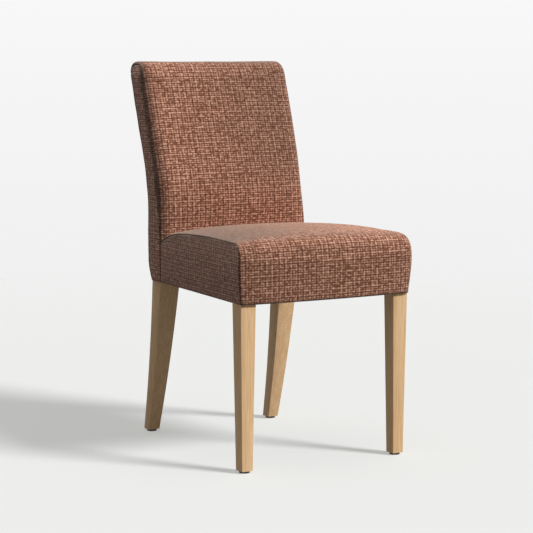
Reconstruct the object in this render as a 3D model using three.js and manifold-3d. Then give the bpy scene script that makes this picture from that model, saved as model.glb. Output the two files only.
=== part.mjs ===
// A fully upholstered dining chair: four tapered oak legs under a fabric seat and a raked fabric back.
// Millimetres. X runs across the chair, the front is -Y, the floor is z = 0, and left is -X.
// Inside, y = 0 is the front face of the back where it meets the seat. The last lines centre the chair.

import * as THREE from "three";
import { mergeVertices } from "three/addons/utils/BufferGeometryUtils.js";
import Module from "manifold-3d";

const wasm = await Module();
wasm.setup();

// Driving sizes of the whole chair
const overallHeight = 900;
const coverBottom = 380;
const seatDepth = 435;
const seatFrontHalfWidth = 219.6;
const backHalfWidth = 199;
const backThickness = 70;

// Seat form: heights of the crowned middle line, and how far the edges lie below it
const seatFrontTop = 521;
const seatRearTop = 503.5;
const seatCrest = 524.5;
const seatCornerRise = 46;
const seatCornerRun = 50;
const seatCrestShare = 0.35;
const seatFrontCrown = 2.6;
const seatTopCrown = 4.5;
const seatRearDroop = 15;
const seatDroopShare = 0.17;
const seatRoll = 9;
const seatSideBulge = 5;

// Back form: upright below the kink, raked above it
const kinkHeight = 600;
const bendHalfHeight = 60;
const rakeShare = 0.33;
const backCoverStart = 470;
const backFrontCrown = 6;
const backTopCrown = 2;
const backRearCrown = 1.5;
const backTopFrontRise = 32;
const backTopFrontRun = 30;
const backTopRearRadius = 24;
const backRearTuck = 5;
const backTuckHeight = 25;
const rollAtSeat = 3;
const rollAtFace = 9;
const rollAtTop = 12;
const rollRear = 7;
const backSideBulge = 1.5;

// Cover, padding and fit
const coverThickness = 1.6;
const gap = 0.3;
const padClearance = 1;
const dustCoverThickness = 1.2;
const dustCoverRelief = 1;
const seamTaper = 30;

// Front legs: square taper, with a rebated block inside the upholstery
const frontLegTopWidth = 38.6;
const frontLegTopDepth = 39.3;
const frontLegFootWidth = 28.2;
const frontLegFootDepth = 28.8;
const frontLegInset = 9.3;
const frontLegSideInset = 0.8;
const frontFootSetBack = 3.5;
const frontFootSideInset = 5.1;

// Rear legs: swept back below the seat, and running on as the posts of the back
const rearLegTopWidth = 52.3;
const rearLegTopDepth = 44;
const rearLegFootWidth = 28.6;
const rearLegFootDepth = 28.3;
const rearLegSetBack = 16.2;
const rearLegSideInset = 8.2;
const rearFootSetBack = 82.3;
const rearFootSideInset = 8.8;
const rearSweep = 26;
const postWidth = 38;
const postFront = 30;
const postTaper = 20;
const topPadding = 30;

// Details shared by all legs
const legRebate = 3;
const edgeChamfer = 1.5;
const glideHeight = 5;
const glideRadius = 12;
const glideEdge = 1;
const glideNailRadius = 1.4;
const glideNailLength = 15;

// Frame
const railHeight = 68;
const railThickness = 22;
const railInset = 3;
const frontRailInset = 1;
const cornerBlockThickness = 22;
const cornerBlockHeight = 40;
const cornerBlockClearance = 3;
const crestRailHeight = 62;
const crestRailDrop = 8;
const lowerRailHeight = 45;
const lowerRailLift = 50;
const backRailInset = 1;

// Corner bolts and washers
const boltRadius = 2.8;
const boltHeadRadius = 5.5;
const boltHeadHeight = 4;
const boltGrip = 26;
const boltClearance = 0.4;
const washerRadius = 8;
const washerThickness = 1.2;

// Elastic webbing
const strapWidth = 50;
const strapThickness = 1.6;
const strapPitch = 62;
const alongStrapCount = 4;
const acrossStrapCount = 4;
const backStrapCount = 4;
const backStrapGap = 14;
const strapEndMargin = 2;
const strapOverlap = 2;

// Mesh fineness: counts of steps, not sizes
const rollSteps = 3;
const middleSteps = 6;
const straightSteps = 3;
const cornerSteps = 7;
const topSteps = 12;
const bendSteps = 4;
const rakeSteps = 3;
const sideRows = 5;
const sideColumns = 5;
const sweepSteps = 8;
const roundSteps = 12;
const hexagonSides = 6;
const droopPower = 2.2;
const crownPower = 2;
const topSpacingPower = 1.5;
const weldDistance = 1e-4;
const half = 0.5;
const sides = { left: -1, right: 1 };

// Heights and places worked out from the sizes above
const railBottom = coverBottom + dustCoverThickness + gap;
const railTop = railBottom + railHeight;
const strapLift = strapThickness + gap;
const strapLow = railTop + gap;
const foamBottom = strapLow + strapLift + strapThickness + gap;
const postTop = overallHeight - topPadding;
const legTop = coverBottom - gap;
const seatCornerStart = seatFrontTop - seatCornerRise;
const frontFace = -seatDepth + seatFrontCrown;
const coverInside = coverThickness + gap;

// Colours and finishes
const oak = new THREE.MeshStandardMaterial({ color: 0xc9a275, roughness: 0.55 });
const beech = new THREE.MeshStandardMaterial({ color: 0xd2b58c, roughness: 0.7 });
const fabric = new THREE.MeshStandardMaterial({ color: 0x8c5a47, roughness: 0.95 });
const foam = new THREE.MeshStandardMaterial({ color: 0xe9e2cf, roughness: 0.9 });
const wadding = new THREE.MeshStandardMaterial({ color: 0xf1eee6, roughness: 1 });
const webbing = new THREE.MeshStandardMaterial({ color: 0x2e2c2a, roughness: 0.85 });
const lining = new THREE.MeshStandardMaterial({ color: 0x1c1b1a, roughness: 0.95 });
const steel = new THREE.MeshStandardMaterial({ color: 0xb4b6b8, roughness: 0.35, metalness: 1 });
const plastic = new THREE.MeshStandardMaterial({ color: 0x161616, roughness: 0.5 });

const chair = new THREE.Group();

// Adds one named piece, with its own copy of the finish, and returns its mesh.
function addPiece(name, geometry, finish) {
  const mesh = new THREE.Mesh(geometry, finish.clone());
  mesh.name = name;
  chair.add(mesh);
  return mesh;
}

const lerp = THREE.MathUtils.lerp;
const clamp = THREE.MathUtils.clamp;

// A triangle list as a geometry, with its faces turned outwards.
function closedGeometry(points, triangles) {
  let volume = 0;
  for (const [a, b, c] of triangles) {
    const cross = new THREE.Vector3().crossVectors(points[b], points[c]);
    volume += points[a].dot(cross);
  }
  const positions = [];
  for (const [a, b, c] of triangles) {
    const corners = volume < 0 ? [a, c, b] : [a, b, c];
    for (const corner of corners) positions.push(...points[corner].toArray());
  }
  const geometry = new THREE.BufferGeometry();
  geometry.setAttribute("position", new THREE.Float32BufferAttribute(positions, 3));
  geometry.computeVertexNormals();
  return geometry;
}

// A closed skin between an outer and an inner grid of points with the same rows and columns.
function shellBetween(outer, inner) {
  const rows = outer.length;
  const columns = outer[0].length;
  const points = [...outer.flat(), ...inner.flat()];
  const layer = rows * columns;
  const triangles = [];
  const addQuad = (a, b, c, d) => triangles.push([a, b, c], [a, c, d]);
  for (let i = 0; i + 1 < rows; i++) {
    for (let j = 0; j + 1 < columns; j++) {
      const a = i * columns + j;
      const b = a + columns;
      addQuad(a, b, b + 1, a + 1);
      addQuad(layer + a, layer + a + 1, layer + b + 1, layer + b);
    }
  }
  const rim = [];
  for (let j = 0; j + 1 < columns; j++) rim.push(j);
  for (let i = 0; i + 1 < rows; i++) rim.push(i * columns + columns - 1);
  for (let j = columns - 1; j > 0; j--) rim.push((rows - 1) * columns + j);
  for (let i = rows - 1; i > 0; i--) rim.push(i * columns);
  rim.forEach((here, index) => {
    const next = rim[(index + 1) % rim.length];
    addQuad(here, next, layer + next, layer + here);
  });
  return closedGeometry(points, triangles);
}

// A solid through a list of closed rings with equal point counts. The end rings are capped.
function ringSolid(rings, flatten) {
  const count = rings[0].length;
  const points = rings.flat();
  const triangles = [];
  for (let i = 0; i + 1 < rings.length; i++) {
    for (let j = 0; j < count; j++) {
      const a = i * count + j;
      const b = i * count + ((j + 1) % count);
      triangles.push([a, b, b + count], [a, b + count, a + count]);
    }
  }
  const cap = (ring) => THREE.ShapeUtils.triangulateShape(ring.map(flatten), []);
  const area = (ring) => THREE.ShapeUtils.area(ring.map(flatten));
  const last = rings.length - 1;
  const lastStart = last * count;
  for (const [a, b, c] of cap(rings[0])) triangles.push([a, c, b]);
  for (const [a, b, c] of cap(rings[last])) {
    triangles.push([lastStart + a, lastStart + b, lastStart + c]);
  }
  const turned = area(rings[0]) < 0;
  if (!turned) return closedGeometry(points, triangles);
  const sideTotal = 2 * count * last;
  const walls = triangles.slice(0, sideTotal).map(([a, b, c]) => [a, c, b]);
  return closedGeometry(points, [...walls, ...triangles.slice(sideTotal)]);
}

const flattenPlan = (point) => new THREE.Vector2(point.x, point.y);
const flattenSide = (point) => new THREE.Vector2(point.y, point.z);

function slabFrom(outline, depth, basis) {
  const shape = new THREE.Shape(outline.map(([u, v]) => new THREE.Vector2(u, v)));
  const geometry = new THREE.ExtrudeGeometry(shape, { depth, bevelEnabled: false });
  return geometry.applyMatrix4(basis);
}

const alongX = new THREE.Vector3(1, 0, 0);
const alongY = new THREE.Vector3(0, 1, 0);
const alongZ = new THREE.Vector3(0, 0, 1);

// A flat slab from a plan outline of (x, y) points, standing on z = 0.
function planSlab(outline, height) {
  return slabFrom(outline, height, new THREE.Matrix4());
}

// A slab from a side outline of (y, z) points, centred on x = 0.
function sideSlab(outline, width) {
  const basis = new THREE.Matrix4().makeBasis(alongY, alongZ, alongX);
  return slabFrom(outline, width, basis).translate(-width * half, 0, 0);
}

// A slab from a front outline of (x, z) points, centred on y = 0.
function frontSlab(outline, depth) {
  const basis = new THREE.Matrix4().makeBasis(alongX, alongZ, alongY.clone().negate());
  return slabFrom(outline, depth, basis).translate(0, depth * half, 0);
}

function solidFrom(geometry) {
  const plain = geometry.index ? geometry.toNonIndexed() : geometry.clone();
  plain.deleteAttribute("normal");
  plain.deleteAttribute("uv");
  const merged = mergeVertices(plain, weldDistance);
  const vertProperties = merged.attributes.position.array;
  const triVerts = new Uint32Array(merged.index.array);
  return new wasm.Manifold(new wasm.Mesh({ numProp: 3, vertProperties, triVerts }));
}

// Cuts the tools out of the body.
function cut(body, tools) {
  let solid = solidFrom(body);
  for (const tool of tools) solid = solid.subtract(solidFrom(tool));
  const mesh = solid.getMesh();
  const geometry = new THREE.BufferGeometry();
  geometry.setAttribute("position", new THREE.Float32BufferAttribute(mesh.vertProperties, 3));
  geometry.setIndex(new THREE.Uint32BufferAttribute(mesh.triVerts, 1));
  const faceted = geometry.toNonIndexed();
  faceted.computeVertexNormals();
  return faceted;
}

// A cylinder from one point to another.
function rod(radius, from, to) {
  const run = to.clone().sub(from);
  const geometry = new THREE.CylinderGeometry(radius, radius, run.length(), roundSteps);
  const turn = new THREE.Quaternion().setFromUnitVectors(alongY, run.clone().normalize());
  geometry.applyQuaternion(turn);
  const middle = from.clone().addScaledVector(run, half);
  return geometry.translate(middle.x, middle.y, middle.z);
}

// The lean of the back: zero below the kink, a steady rake above it, and a soft bend between.
function smoothLean(z) {
  const bendStart = kinkHeight - bendHalfHeight;
  const above = z - bendStart;
  if (above <= 0) return 0;
  if (z >= kinkHeight + bendHalfHeight) return rakeShare * (z - kinkHeight);
  return (rakeShare * above * above) / (4 * bendHalfHeight);
}

// Everything that follows the lean bends at these heights, so neighbours keep their gaps.
const leanHeights = [coverBottom, backCoverStart, seatRearTop];
const topCornerStart = overallHeight - backTopFrontRise;
for (let i = 0; i <= bendSteps; i++) {
  leanHeights.push(kinkHeight + bendHalfHeight * (2 * (i / bendSteps) - 1));
}
for (let i = 1; i <= rakeSteps; i++) {
  leanHeights.push(lerp(kinkHeight + bendHalfHeight, topCornerStart, i / rakeSteps));
}
leanHeights.push(overallHeight);
leanHeights.sort((a, b) => a - b);

function leanSegment(z) {
  let index = 0;
  while (index + 2 < leanHeights.length && leanHeights[index + 1] <= z) index++;
  return [leanHeights[index], leanHeights[index + 1]];
}

function leanAt(z) {
  const [low, high] = leanSegment(z);
  return lerp(smoothLean(low), smoothLean(high), (z - low) / (high - low));
}

function leanSlopeAt(z) {
  const [low, high] = leanSegment(z);
  return (smoothLean(high) - smoothLean(low)) / (high - low);
}

function heightsBetween(low, high) {
  const inside = leanHeights.filter((z) => z > low + gap && z < high - gap);
  return [low, ...inside, high];
}

// A side outline that follows the lean between two depths.
function leaningOutline(low, high, front, rear) {
  const heights = heightsBetween(low, high);
  const up = heights.map((z) => [leanAt(z) + front, z]);
  const down = heights.map((z) => [leanAt(z) + rear, z]).reverse();
  return [...up, ...down];
}

// Half widths of the upholstery: the seat tapers towards the back and swells at mid height.
function seatHalfWidth(y, z) {
  const taperShare = clamp((y - frontFace) / -frontFace, 0, 1);
  const heightShare = clamp((z - coverBottom) / (seatFrontTop - coverBottom), 0, 1);
  const swell = seatSideBulge * Math.sin(Math.PI * heightShare) * (1 - taperShare);
  return lerp(seatFrontHalfWidth, backHalfWidth, taperShare) + swell;
}

// A station of a sewn strip: a point on its middle line, the way in, and its edge sizes.
function station(y, z, inwardY, inwardZ, crown, roll) {
  return { y, z, inwardY, inwardZ, crown, roll };
}

function inwardNormal(tangent) {
  return [tangent.y, -tangent.x];
}

// The middle line of the seat cover: up the front, round the front edge and back along the top.
function seatStations() {
  const cornerFoot = new THREE.Vector2(-seatDepth, seatCornerStart);
  const cornerTip = new THREE.Vector2(-seatDepth, seatFrontTop);
  const cornerEnd = new THREE.Vector2(-seatDepth + seatCornerRun, seatFrontTop);
  const crest = new THREE.Vector2(-seatDepth * seatCrestShare, seatCrest);
  const rear = new THREE.Vector2(-gap, seatRearTop);
  const corner = new THREE.QuadraticBezierCurve(cornerFoot, cornerTip, cornerEnd);
  const top = new THREE.QuadraticBezierCurve(cornerEnd, crest, rear);
  const list = [];
  for (let i = 0; i < straightSteps; i++) {
    const z = lerp(coverBottom, seatCornerStart, i / straightSteps);
    list.push(station(-seatDepth, z, 1, 0, seatFrontCrown, seatRoll));
  }
  for (let i = 0; i < cornerSteps; i++) {
    const share = i / cornerSteps;
    const point = corner.getPoint(share);
    const [inwardY, inwardZ] = inwardNormal(corner.getTangent(share));
    const crown = lerp(seatFrontCrown, seatTopCrown, share);
    list.push(station(point.x, point.y, inwardY, inwardZ, crown, seatRoll));
  }
  const droopStart = -seatDepth * seatDroopShare;
  for (let i = 0; i <= topSteps; i++) {
    const share = 1 - (1 - i / topSteps) ** topSpacingPower;
    const point = top.getPoint(share);
    const droopReach = clamp((point.x - droopStart) / -droopStart, 0, 1);
    const crown = seatTopCrown + seatRearDroop * droopReach ** droopPower;
    list.push(station(point.x, point.y, 0, -1, crown, seatRoll));
  }
  return list;
}

// The middle line of the back's front cover: up the face and over the rounded top.
function backFrontStations() {
  const list = [];
  const crownStart = seatRearTop;
  for (const z of heightsBetween(backCoverStart, topCornerStart)) {
    const rise = clamp((z - crownStart) / bendHalfHeight, 0, 1);
    const rollShare = clamp((z - backCoverStart) / (kinkHeight - backCoverStart), 0, 1);
    const slope = z > kinkHeight - bendHalfHeight ? leanSlopeAt(z) : 0;
    const length = Math.hypot(1, slope);
    const roll = lerp(rollAtSeat, rollAtFace, rollShare);
    const crown = backFrontCrown * Math.sin(rise * Math.PI * half);
    list.push(station(leanAt(z) - crown, z, 1 / length, -slope / length, crown, roll));
  }
  const frontTip = new THREE.Vector2(leanAt(overallHeight), overallHeight);
  const rearTip = new THREE.Vector2(frontTip.x + backThickness, overallHeight);
  const rearFootZ = overallHeight - backTopRearRadius;
  const last = list[list.length - 1];
  const frontCorner = new THREE.QuadraticBezierCurve(
    new THREE.Vector2(last.y, last.z),
    new THREE.Vector2(frontTip.x - backFrontCrown, overallHeight),
    new THREE.Vector2(frontTip.x + backTopFrontRun, overallHeight),
  );
  const rearCorner = new THREE.QuadraticBezierCurve(
    new THREE.Vector2(rearTip.x - backTopRearRadius, overallHeight),
    rearTip,
    new THREE.Vector2(leanAt(rearFootZ) + backThickness, rearFootZ),
  );
  for (let i = 1; i <= cornerSteps; i++) {
    const share = i / cornerSteps;
    const point = frontCorner.getPoint(share);
    const [inwardY, inwardZ] = inwardNormal(frontCorner.getTangent(share));
    const crown = lerp(backFrontCrown, backTopCrown, share);
    const roll = lerp(rollAtFace, rollAtTop, share);
    list.push(station(point.x, point.y, inwardY, inwardZ, crown, roll));
  }
  for (let i = 0; i <= cornerSteps; i++) {
    const share = i / cornerSteps;
    const point = rearCorner.getPoint(share);
    const [inwardY, inwardZ] = inwardNormal(rearCorner.getTangent(share));
    const crown = lerp(backTopCrown, backRearCrown, share);
    const roll = lerp(rollAtTop, rollRear, share);
    list.push(station(point.x, point.y, inwardY, inwardZ, crown, roll));
  }
  return list;
}

// One station of the outside back, which is tucked in a little above its lower edge.
function rearStation(z) {
  const slope = z > kinkHeight - bendHalfHeight ? leanSlopeAt(z) : 0;
  const length = Math.hypot(1, slope);
  const tuckShare = clamp(1 - (z - coverBottom) / backTuckHeight, 0, 1);
  const y = leanAt(z) + backThickness - backRearTuck * tuckShare ** 2;
  return station(y, z, -1 / length, slope / length, backRearCrown, rollRear);
}

// The middle line of the outside back, from under the top edge down to the cover's lower edge.
function backRearStations() {
  const start = overallHeight - backTopRearRadius - gap;
  const heights = heightsBetween(coverBottom, start);
  heights.splice(1, 0, coverBottom + backTuckHeight);
  return heights.reverse().map(rearStation);
}

// Places across a strip: round each edge, then over the middle. The corner angle is 0 at the seam.
function acrossPlaces() {
  const places = [];
  for (let i = 0; i < rollSteps; i++) {
    places.push({ side: -1, turn: (i / rollSteps) * Math.PI * half, share: 1 });
  }
  for (let i = 0; i <= middleSteps; i++) {
    const across = (2 * i) / middleSteps - 1;
    places.push({ side: Math.sign(across) || 1, turn: Math.PI * half, share: Math.abs(across) });
  }
  for (let i = rollSteps - 1; i >= 0; i--) {
    places.push({ side: 1, turn: (i / rollSteps) * Math.PI * half, share: 1 });
  }
  return places;
}

// The point of a strip at a station and a place across it, some depth under its surface.
function stripPoint(at, place, halfWidthAt, depth) {
  const roll = at.roll - depth;
  const edgeDrop = depth + roll * (1 - Math.sin(place.turn));
  const seamY = at.y + at.inwardY * (at.roll + at.crown);
  const seamZ = at.z + at.inwardZ * (at.roll + at.crown);
  const halfWidth = halfWidthAt(seamY, seamZ) - depth;
  const reach = place.share * (halfWidth - roll + roll * Math.cos(place.turn));
  const drop = edgeDrop + at.crown * (reach / halfWidth) ** crownPower;
  return new THREE.Vector3(place.side * reach, at.y + at.inwardY * drop, at.z + at.inwardZ * drop);
}

const places = acrossPlaces();
const backHalfWidthAt = () => backHalfWidth;

function stripCover(stations, halfWidthAt) {
  const grid = (depth) =>
    stations.map((at) => places.map((place) => stripPoint(at, place, halfWidthAt, depth)));
  return shellBetween(grid(0), grid(coverThickness));
}

// The seam edge of a strip on one side, a gap outside its last thread, as (y, z).
function seamEdge(at) {
  const drop = at.roll + at.crown + gap;
  return new THREE.Vector2(at.y + at.inwardY * drop, at.z + at.inwardZ * drop);
}

// A side panel from a grid of (y, z) places and a function that gives its half width there.
function sidePanel(grid, side, halfWidthAt) {
  const skin = (depth) =>
    grid.map((row, i) =>
      row.map((place, j) => {
        const reach = halfWidthAt(place, i / (grid.length - 1), j / (row.length - 1)) - depth;
        return new THREE.Vector3(side * reach, place.x, place.y);
      }),
    );
  return shellBetween(skin(0), skin(coverThickness));
}

const seatLine = seatStations();
const backFrontLine = backFrontStations();
const backRearLine = backRearStations();

function addSeatCovers() {
  addPiece("seat_top_cover", stripCover(seatLine, seatHalfWidth), fabric);
  const upper = seatLine.slice(straightSteps).map(seamEdge);
  const grid = upper.map((edge) => {
    const column = [];
    for (let i = 0; i <= sideRows; i++) {
      column.push(new THREE.Vector2(edge.x, lerp(coverBottom, edge.y, i / sideRows)));
    }
    return column;
  });
  const halfWidthAt = (place) => seatHalfWidth(place.x, place.y);
  for (const [name, side] of Object.entries(sides)) {
    addPiece(`seat_side_cover_${name}`, sidePanel(grid, side, halfWidthAt), fabric);
  }
}

function addBackCovers() {
  addPiece("back_front_cover", stripCover(backFrontLine, backHalfWidthAt), fabric);
  addPiece("back_outside_cover", stripCover(backRearLine, backHalfWidthAt), fabric);
  const faceCount = heightsBetween(backCoverStart, topCornerStart).length;
  const ends = [];
  for (const z of [coverBottom, coverBottom + backTuckHeight, backCoverStart - seamTaper]) {
    ends.push([new THREE.Vector2(gap, z), seamEdge(rearStation(z))]);
  }
  for (const at of backFrontLine.slice(0, faceCount - 1)) {
    ends.push([seamEdge(at), seamEdge(rearStation(at.z))]);
  }
  for (let i = 0; i <= cornerSteps; i++) {
    const front = seamEdge(backFrontLine[faceCount - 1 + i]);
    const rear = seamEdge(backFrontLine[backFrontLine.length - 1 - i]);
    ends.push([front, rear]);
  }
  const grid = ends.map(([front, rear]) => {
    const row = [];
    for (let j = 0; j <= sideColumns; j++) row.push(front.clone().lerp(rear, j / sideColumns));
    return row;
  });
  const halfWidthAt = (place, rowShare, columnShare) =>
    backHalfWidth + 4 * backSideBulge * columnShare * (1 - columnShare) * Math.sin(Math.PI * rowShare);
  for (const [name, side] of Object.entries(sides)) {
    addPiece(`back_side_cover_${name}`, sidePanel(grid, side, halfWidthAt), fabric);
  }
}

// The crowned seat block under its cover, standing on the webbing.
function addSeatFoam() {
  const upper = seatLine.slice(straightSteps);
  const rings = places.map((place) => {
    const skin = upper.map((at) => stripPoint(at, place, seatHalfWidth, coverInside));
    const first = skin[0];
    const last = skin[skin.length - 1];
    const frontFoot = new THREE.Vector3(first.x, first.y, foamBottom);
    const rearFoot = new THREE.Vector3(last.x, last.y, foamBottom);
    return [frontFoot, ...skin, rearFoot];
  });
  addPiece("seat_foam", ringSolid(rings, flattenSide), foam);
}

// The straps of the back share the room between its two rails.
const backStrapLow = railTop + lowerRailLift + lowerRailHeight;
const backStrapHigh = postTop - crestRailDrop - crestRailHeight;
const backStrapPitch = (backStrapHigh - backStrapLow) / backStrapCount;
const backStrapWidth = backStrapPitch - backStrapGap;

// A strap lies flat on the raking posts, so the pad behind the face keeps clear of its edges.
const strapSag = (rakeShare * (backStrapWidth * half) ** 2) / (4 * bendHalfHeight);
const backPadDepth = postFront - strapThickness - 2 * gap - strapSag - padClearance;

// The pad on the face of the back, which runs over the top of the posts.
function addBackFoam() {
  const rings = places.map((place) => {
    const skin = backFrontLine.map((at) => stripPoint(at, place, backHalfWidthAt, coverInside));
    const reach = skin[0].x;
    const inside = [];
    const rear = skin[skin.length - 1];
    const rearY = rear.y - leanSlopeAt(postTop) * (rear.z - postTop);
    inside.push(new THREE.Vector3(rear.x, rearY, postTop + gap));
    inside.push(new THREE.Vector3(rear.x, leanAt(postTop) + backPadDepth, postTop + gap));
    for (const z of heightsBetween(backCoverStart, postTop).reverse().slice(1)) {
      inside.push(new THREE.Vector3(reach, leanAt(z) + backPadDepth, z));
    }
    return [...skin, ...inside];
  });
  addPiece("back_foam", ringSolid(rings, flattenSide), foam);
}

// The inner line of the seat's side cover, for what lies against it
function insideCoverAt(y) {
  const share = clamp((y - frontFace) / -frontFace, 0, 1);
  return lerp(seatFrontHalfWidth, backHalfWidth, share) - coverInside;
}

// The outer faces of the blocks that the legs hold inside the upholstery
const frontBlockRear = -seatDepth + frontLegInset + frontLegTopDepth - legRebate;
const frontBlock = {
  outer: insideCoverAt(frontBlockRear) - gap,
  inner: seatFrontHalfWidth - frontLegSideInset - frontLegTopWidth + legRebate,
  front: -seatDepth + frontLegInset + legRebate,
  rear: frontBlockRear,
};
const rearBlock = {
  outer: backHalfWidth - rearLegSideInset - legRebate,
  inner: backHalfWidth - rearLegSideInset - rearLegTopWidth + legRebate,
  front: rearLegSetBack + legRebate,
  rear: rearLegSetBack + rearLegTopDepth - legRebate,
};
const post = {
  outer: rearBlock.outer,
  inner: rearBlock.outer - postWidth,
  front: postFront,
  rear: rearBlock.rear,
};

// Side rails run straight from the front block to the rear block.
const sideRail = {
  frontEnd: frontBlock.rear + gap,
  rearEnd: rearBlock.front - gap,
  frontOuter: frontBlock.outer - railInset,
  rearOuter: rearBlock.outer - railInset,
};

function sideRailOuterAt(y) {
  const share = (y - sideRail.frontEnd) / (sideRail.rearEnd - sideRail.frontEnd);
  return lerp(sideRail.frontOuter, sideRail.rearOuter, share);
}

const sideRailInnerAt = (y) => sideRailOuterAt(y) - railThickness;
const frontRailFront = frontBlock.front + frontRailInset;
const frontRailRear = frontRailFront + railThickness;
const rearRailFront = rearBlock.front + frontRailInset;
const rearRailRear = rearRailFront + railThickness;

// One cross section of a leg, with eased edges.
function legRing(side, section, z) {
  const { outer, inner, front, rear } = section;
  const c = edgeChamfer;
  const outline = [
    [outer, front + c],
    [outer, rear - c],
    [outer - c, rear],
    [inner + c, rear],
    [inner, rear - c],
    [inner, front + c],
    [inner + c, front],
    [outer - c, front],
  ];
  return outline.map(([x, y]) => new THREE.Vector3(side * x, y, z));
}

// The bolt that draws a leg into its corner: it crosses the corner block square to its face.
function cornerBolt(side, end) {
  const atFront = end === "front";
  const block = atFront ? frontBlock : rearBlock;
  const railFace = atFront ? frontRailRear : rearRailFront;
  const legFace = atFront ? block.rear : block.front;
  const inward = atFront ? 1 : -1;
  const cornerX = sideRailInnerAt(railFace);
  const legAcross = cornerX - block.inner;
  const legAlong = inward * (legFace - railFace);
  const nearSum = legAcross + legAlong + cornerBlockClearance;
  const farSum = nearSum + cornerBlockThickness * Math.SQRT2;
  const skew = (legAcross - legAlong) * half;
  const z = railBottom + railHeight * half;
  const place = (sum) => {
    const across = (sum + skew) * half;
    const along = (sum - skew) * half;
    return new THREE.Vector3(side * (cornerX - across), railFace + inward * along, z);
  };
  const outward = place(0).sub(place(farSum)).normalize();
  return { railFace, inward, nearSum, farSum, seat: place(farSum), outward };
}

// Shank length from the washer to its tip in the leg
const shankLength = cornerBlockThickness + boltGrip;

function boltHole(bolt) {
  const start = bolt.seat.clone().addScaledVector(bolt.outward, -boltHeadRadius);
  const end = bolt.seat.clone().addScaledVector(bolt.outward, shankLength + boltClearance);
  return rod(boltRadius + boltClearance, start, end);
}

function glideHole(x, y) {
  const low = new THREE.Vector3(x, y, glideHeight - glideHeight * half);
  const high = new THREE.Vector3(x, y, glideHeight + glideNailLength + gap);
  return rod(glideNailRadius + gap, low, high);
}

function addGlide(name, x, y) {
  const profile = [
    [0, 0],
    [glideRadius - glideEdge, 0],
    [glideRadius, glideEdge],
    [glideRadius, glideHeight - glideEdge],
    [glideRadius - glideEdge, glideHeight - gap],
    [glideNailRadius, glideHeight - gap],
    [glideNailRadius, glideHeight + glideNailLength - glideNailRadius],
    [0, glideHeight + glideNailLength],
  ];
  const points = profile.map(([r, z]) => new THREE.Vector2(r, z));
  const geometry = new THREE.LatheGeometry(points, roundSteps).rotateX(Math.PI * half);
  addPiece(name, geometry, plastic).position.set(x, y, 0);
}

function addFrontLeg(name, side) {
  const outer = seatFrontHalfWidth - frontLegSideInset;
  const front = -seatDepth + frontLegInset;
  const top = {
    outer,
    inner: outer - frontLegTopWidth,
    front,
    rear: front + frontLegTopDepth,
  };
  const foot = {
    outer: outer - frontFootSideInset,
    inner: outer - frontFootSideInset - frontLegFootWidth,
    front: front + frontFootSetBack,
    rear: front + frontFootSetBack + frontLegFootDepth,
  };
  const rings = [
    legRing(side, foot, glideHeight),
    legRing(side, top, legTop),
    legRing(side, frontBlock, legTop),
    legRing(side, frontBlock, railTop),
  ];
  const x = side * (foot.outer + foot.inner) * half;
  const y = (foot.front + foot.rear) * half;
  const tools = [glideHole(x, y), boltHole(cornerBolt(side, "front"))];
  addPiece(`front_leg_${name}`, cut(ringSolid(rings, flattenPlan), tools), oak);
  addGlide(`front_glide_${name}`, x, y);
}

// A rear leg section, where the share runs from 0 under the seat to 1 at the foot.
function rearLegSection(share) {
  const outer = backHalfWidth - rearLegSideInset - rearFootSideInset * share;
  const width = lerp(rearLegTopWidth, rearLegFootWidth, share);
  const bow = rearSweep * (share * share - share);
  const front = rearLegSetBack + rearFootSetBack * share + bow;
  const depth = lerp(rearLegTopDepth, rearLegFootDepth, share);
  return { outer, inner: outer - width, front, rear: front + depth };
}

function addRearLeg(name, side) {
  const rings = [];
  for (let i = 0; i <= sweepSteps; i++) {
    const share = 1 - i / sweepSteps;
    rings.push(legRing(side, rearLegSection(share), lerp(legTop, glideHeight, share)));
  }
  rings.push(legRing(side, rearBlock, legTop));
  rings.push(legRing(side, rearBlock, railTop));
  for (const z of heightsBetween(railTop + postTaper, postTop)) {
    const lean = leanAt(z);
    const section = { ...post, front: post.front + lean, rear: post.rear + lean };
    rings.push(legRing(side, section, z));
  }
  const foot = rearLegSection(1);
  const x = side * (foot.outer + foot.inner) * half;
  const y = (foot.front + foot.rear) * half;
  const tools = [glideHole(x, y), boltHole(cornerBolt(side, "rear"))];
  addPiece(`rear_leg_${name}`, cut(ringSolid(rings, flattenPlan), tools), oak);
  addGlide(`rear_glide_${name}`, x, y);
}

function addSeatRails() {
  const addCrossRail = (name, block, front, rear) => {
    const reach = block.inner - gap;
    const outline = [
      [-reach, front],
      [reach, front],
      [reach, rear],
      [-reach, rear],
    ];
    addPiece(name, planSlab(outline, railHeight), beech).position.z = railBottom;
  };
  addCrossRail("front_rail", frontBlock, frontRailFront, frontRailRear);
  addCrossRail("rear_rail", rearBlock, rearRailFront, rearRailRear);
  for (const [name, side] of Object.entries(sides)) {
    const outline = [
      [side * sideRail.frontOuter, sideRail.frontEnd],
      [side * sideRail.rearOuter, sideRail.rearEnd],
      [side * (sideRail.rearOuter - railThickness), sideRail.rearEnd],
      [side * (sideRail.frontOuter - railThickness), sideRail.frontEnd],
    ];
    addPiece(`side_rail_${name}`, planSlab(outline, railHeight), beech).position.z = railBottom;
  }
}

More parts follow.
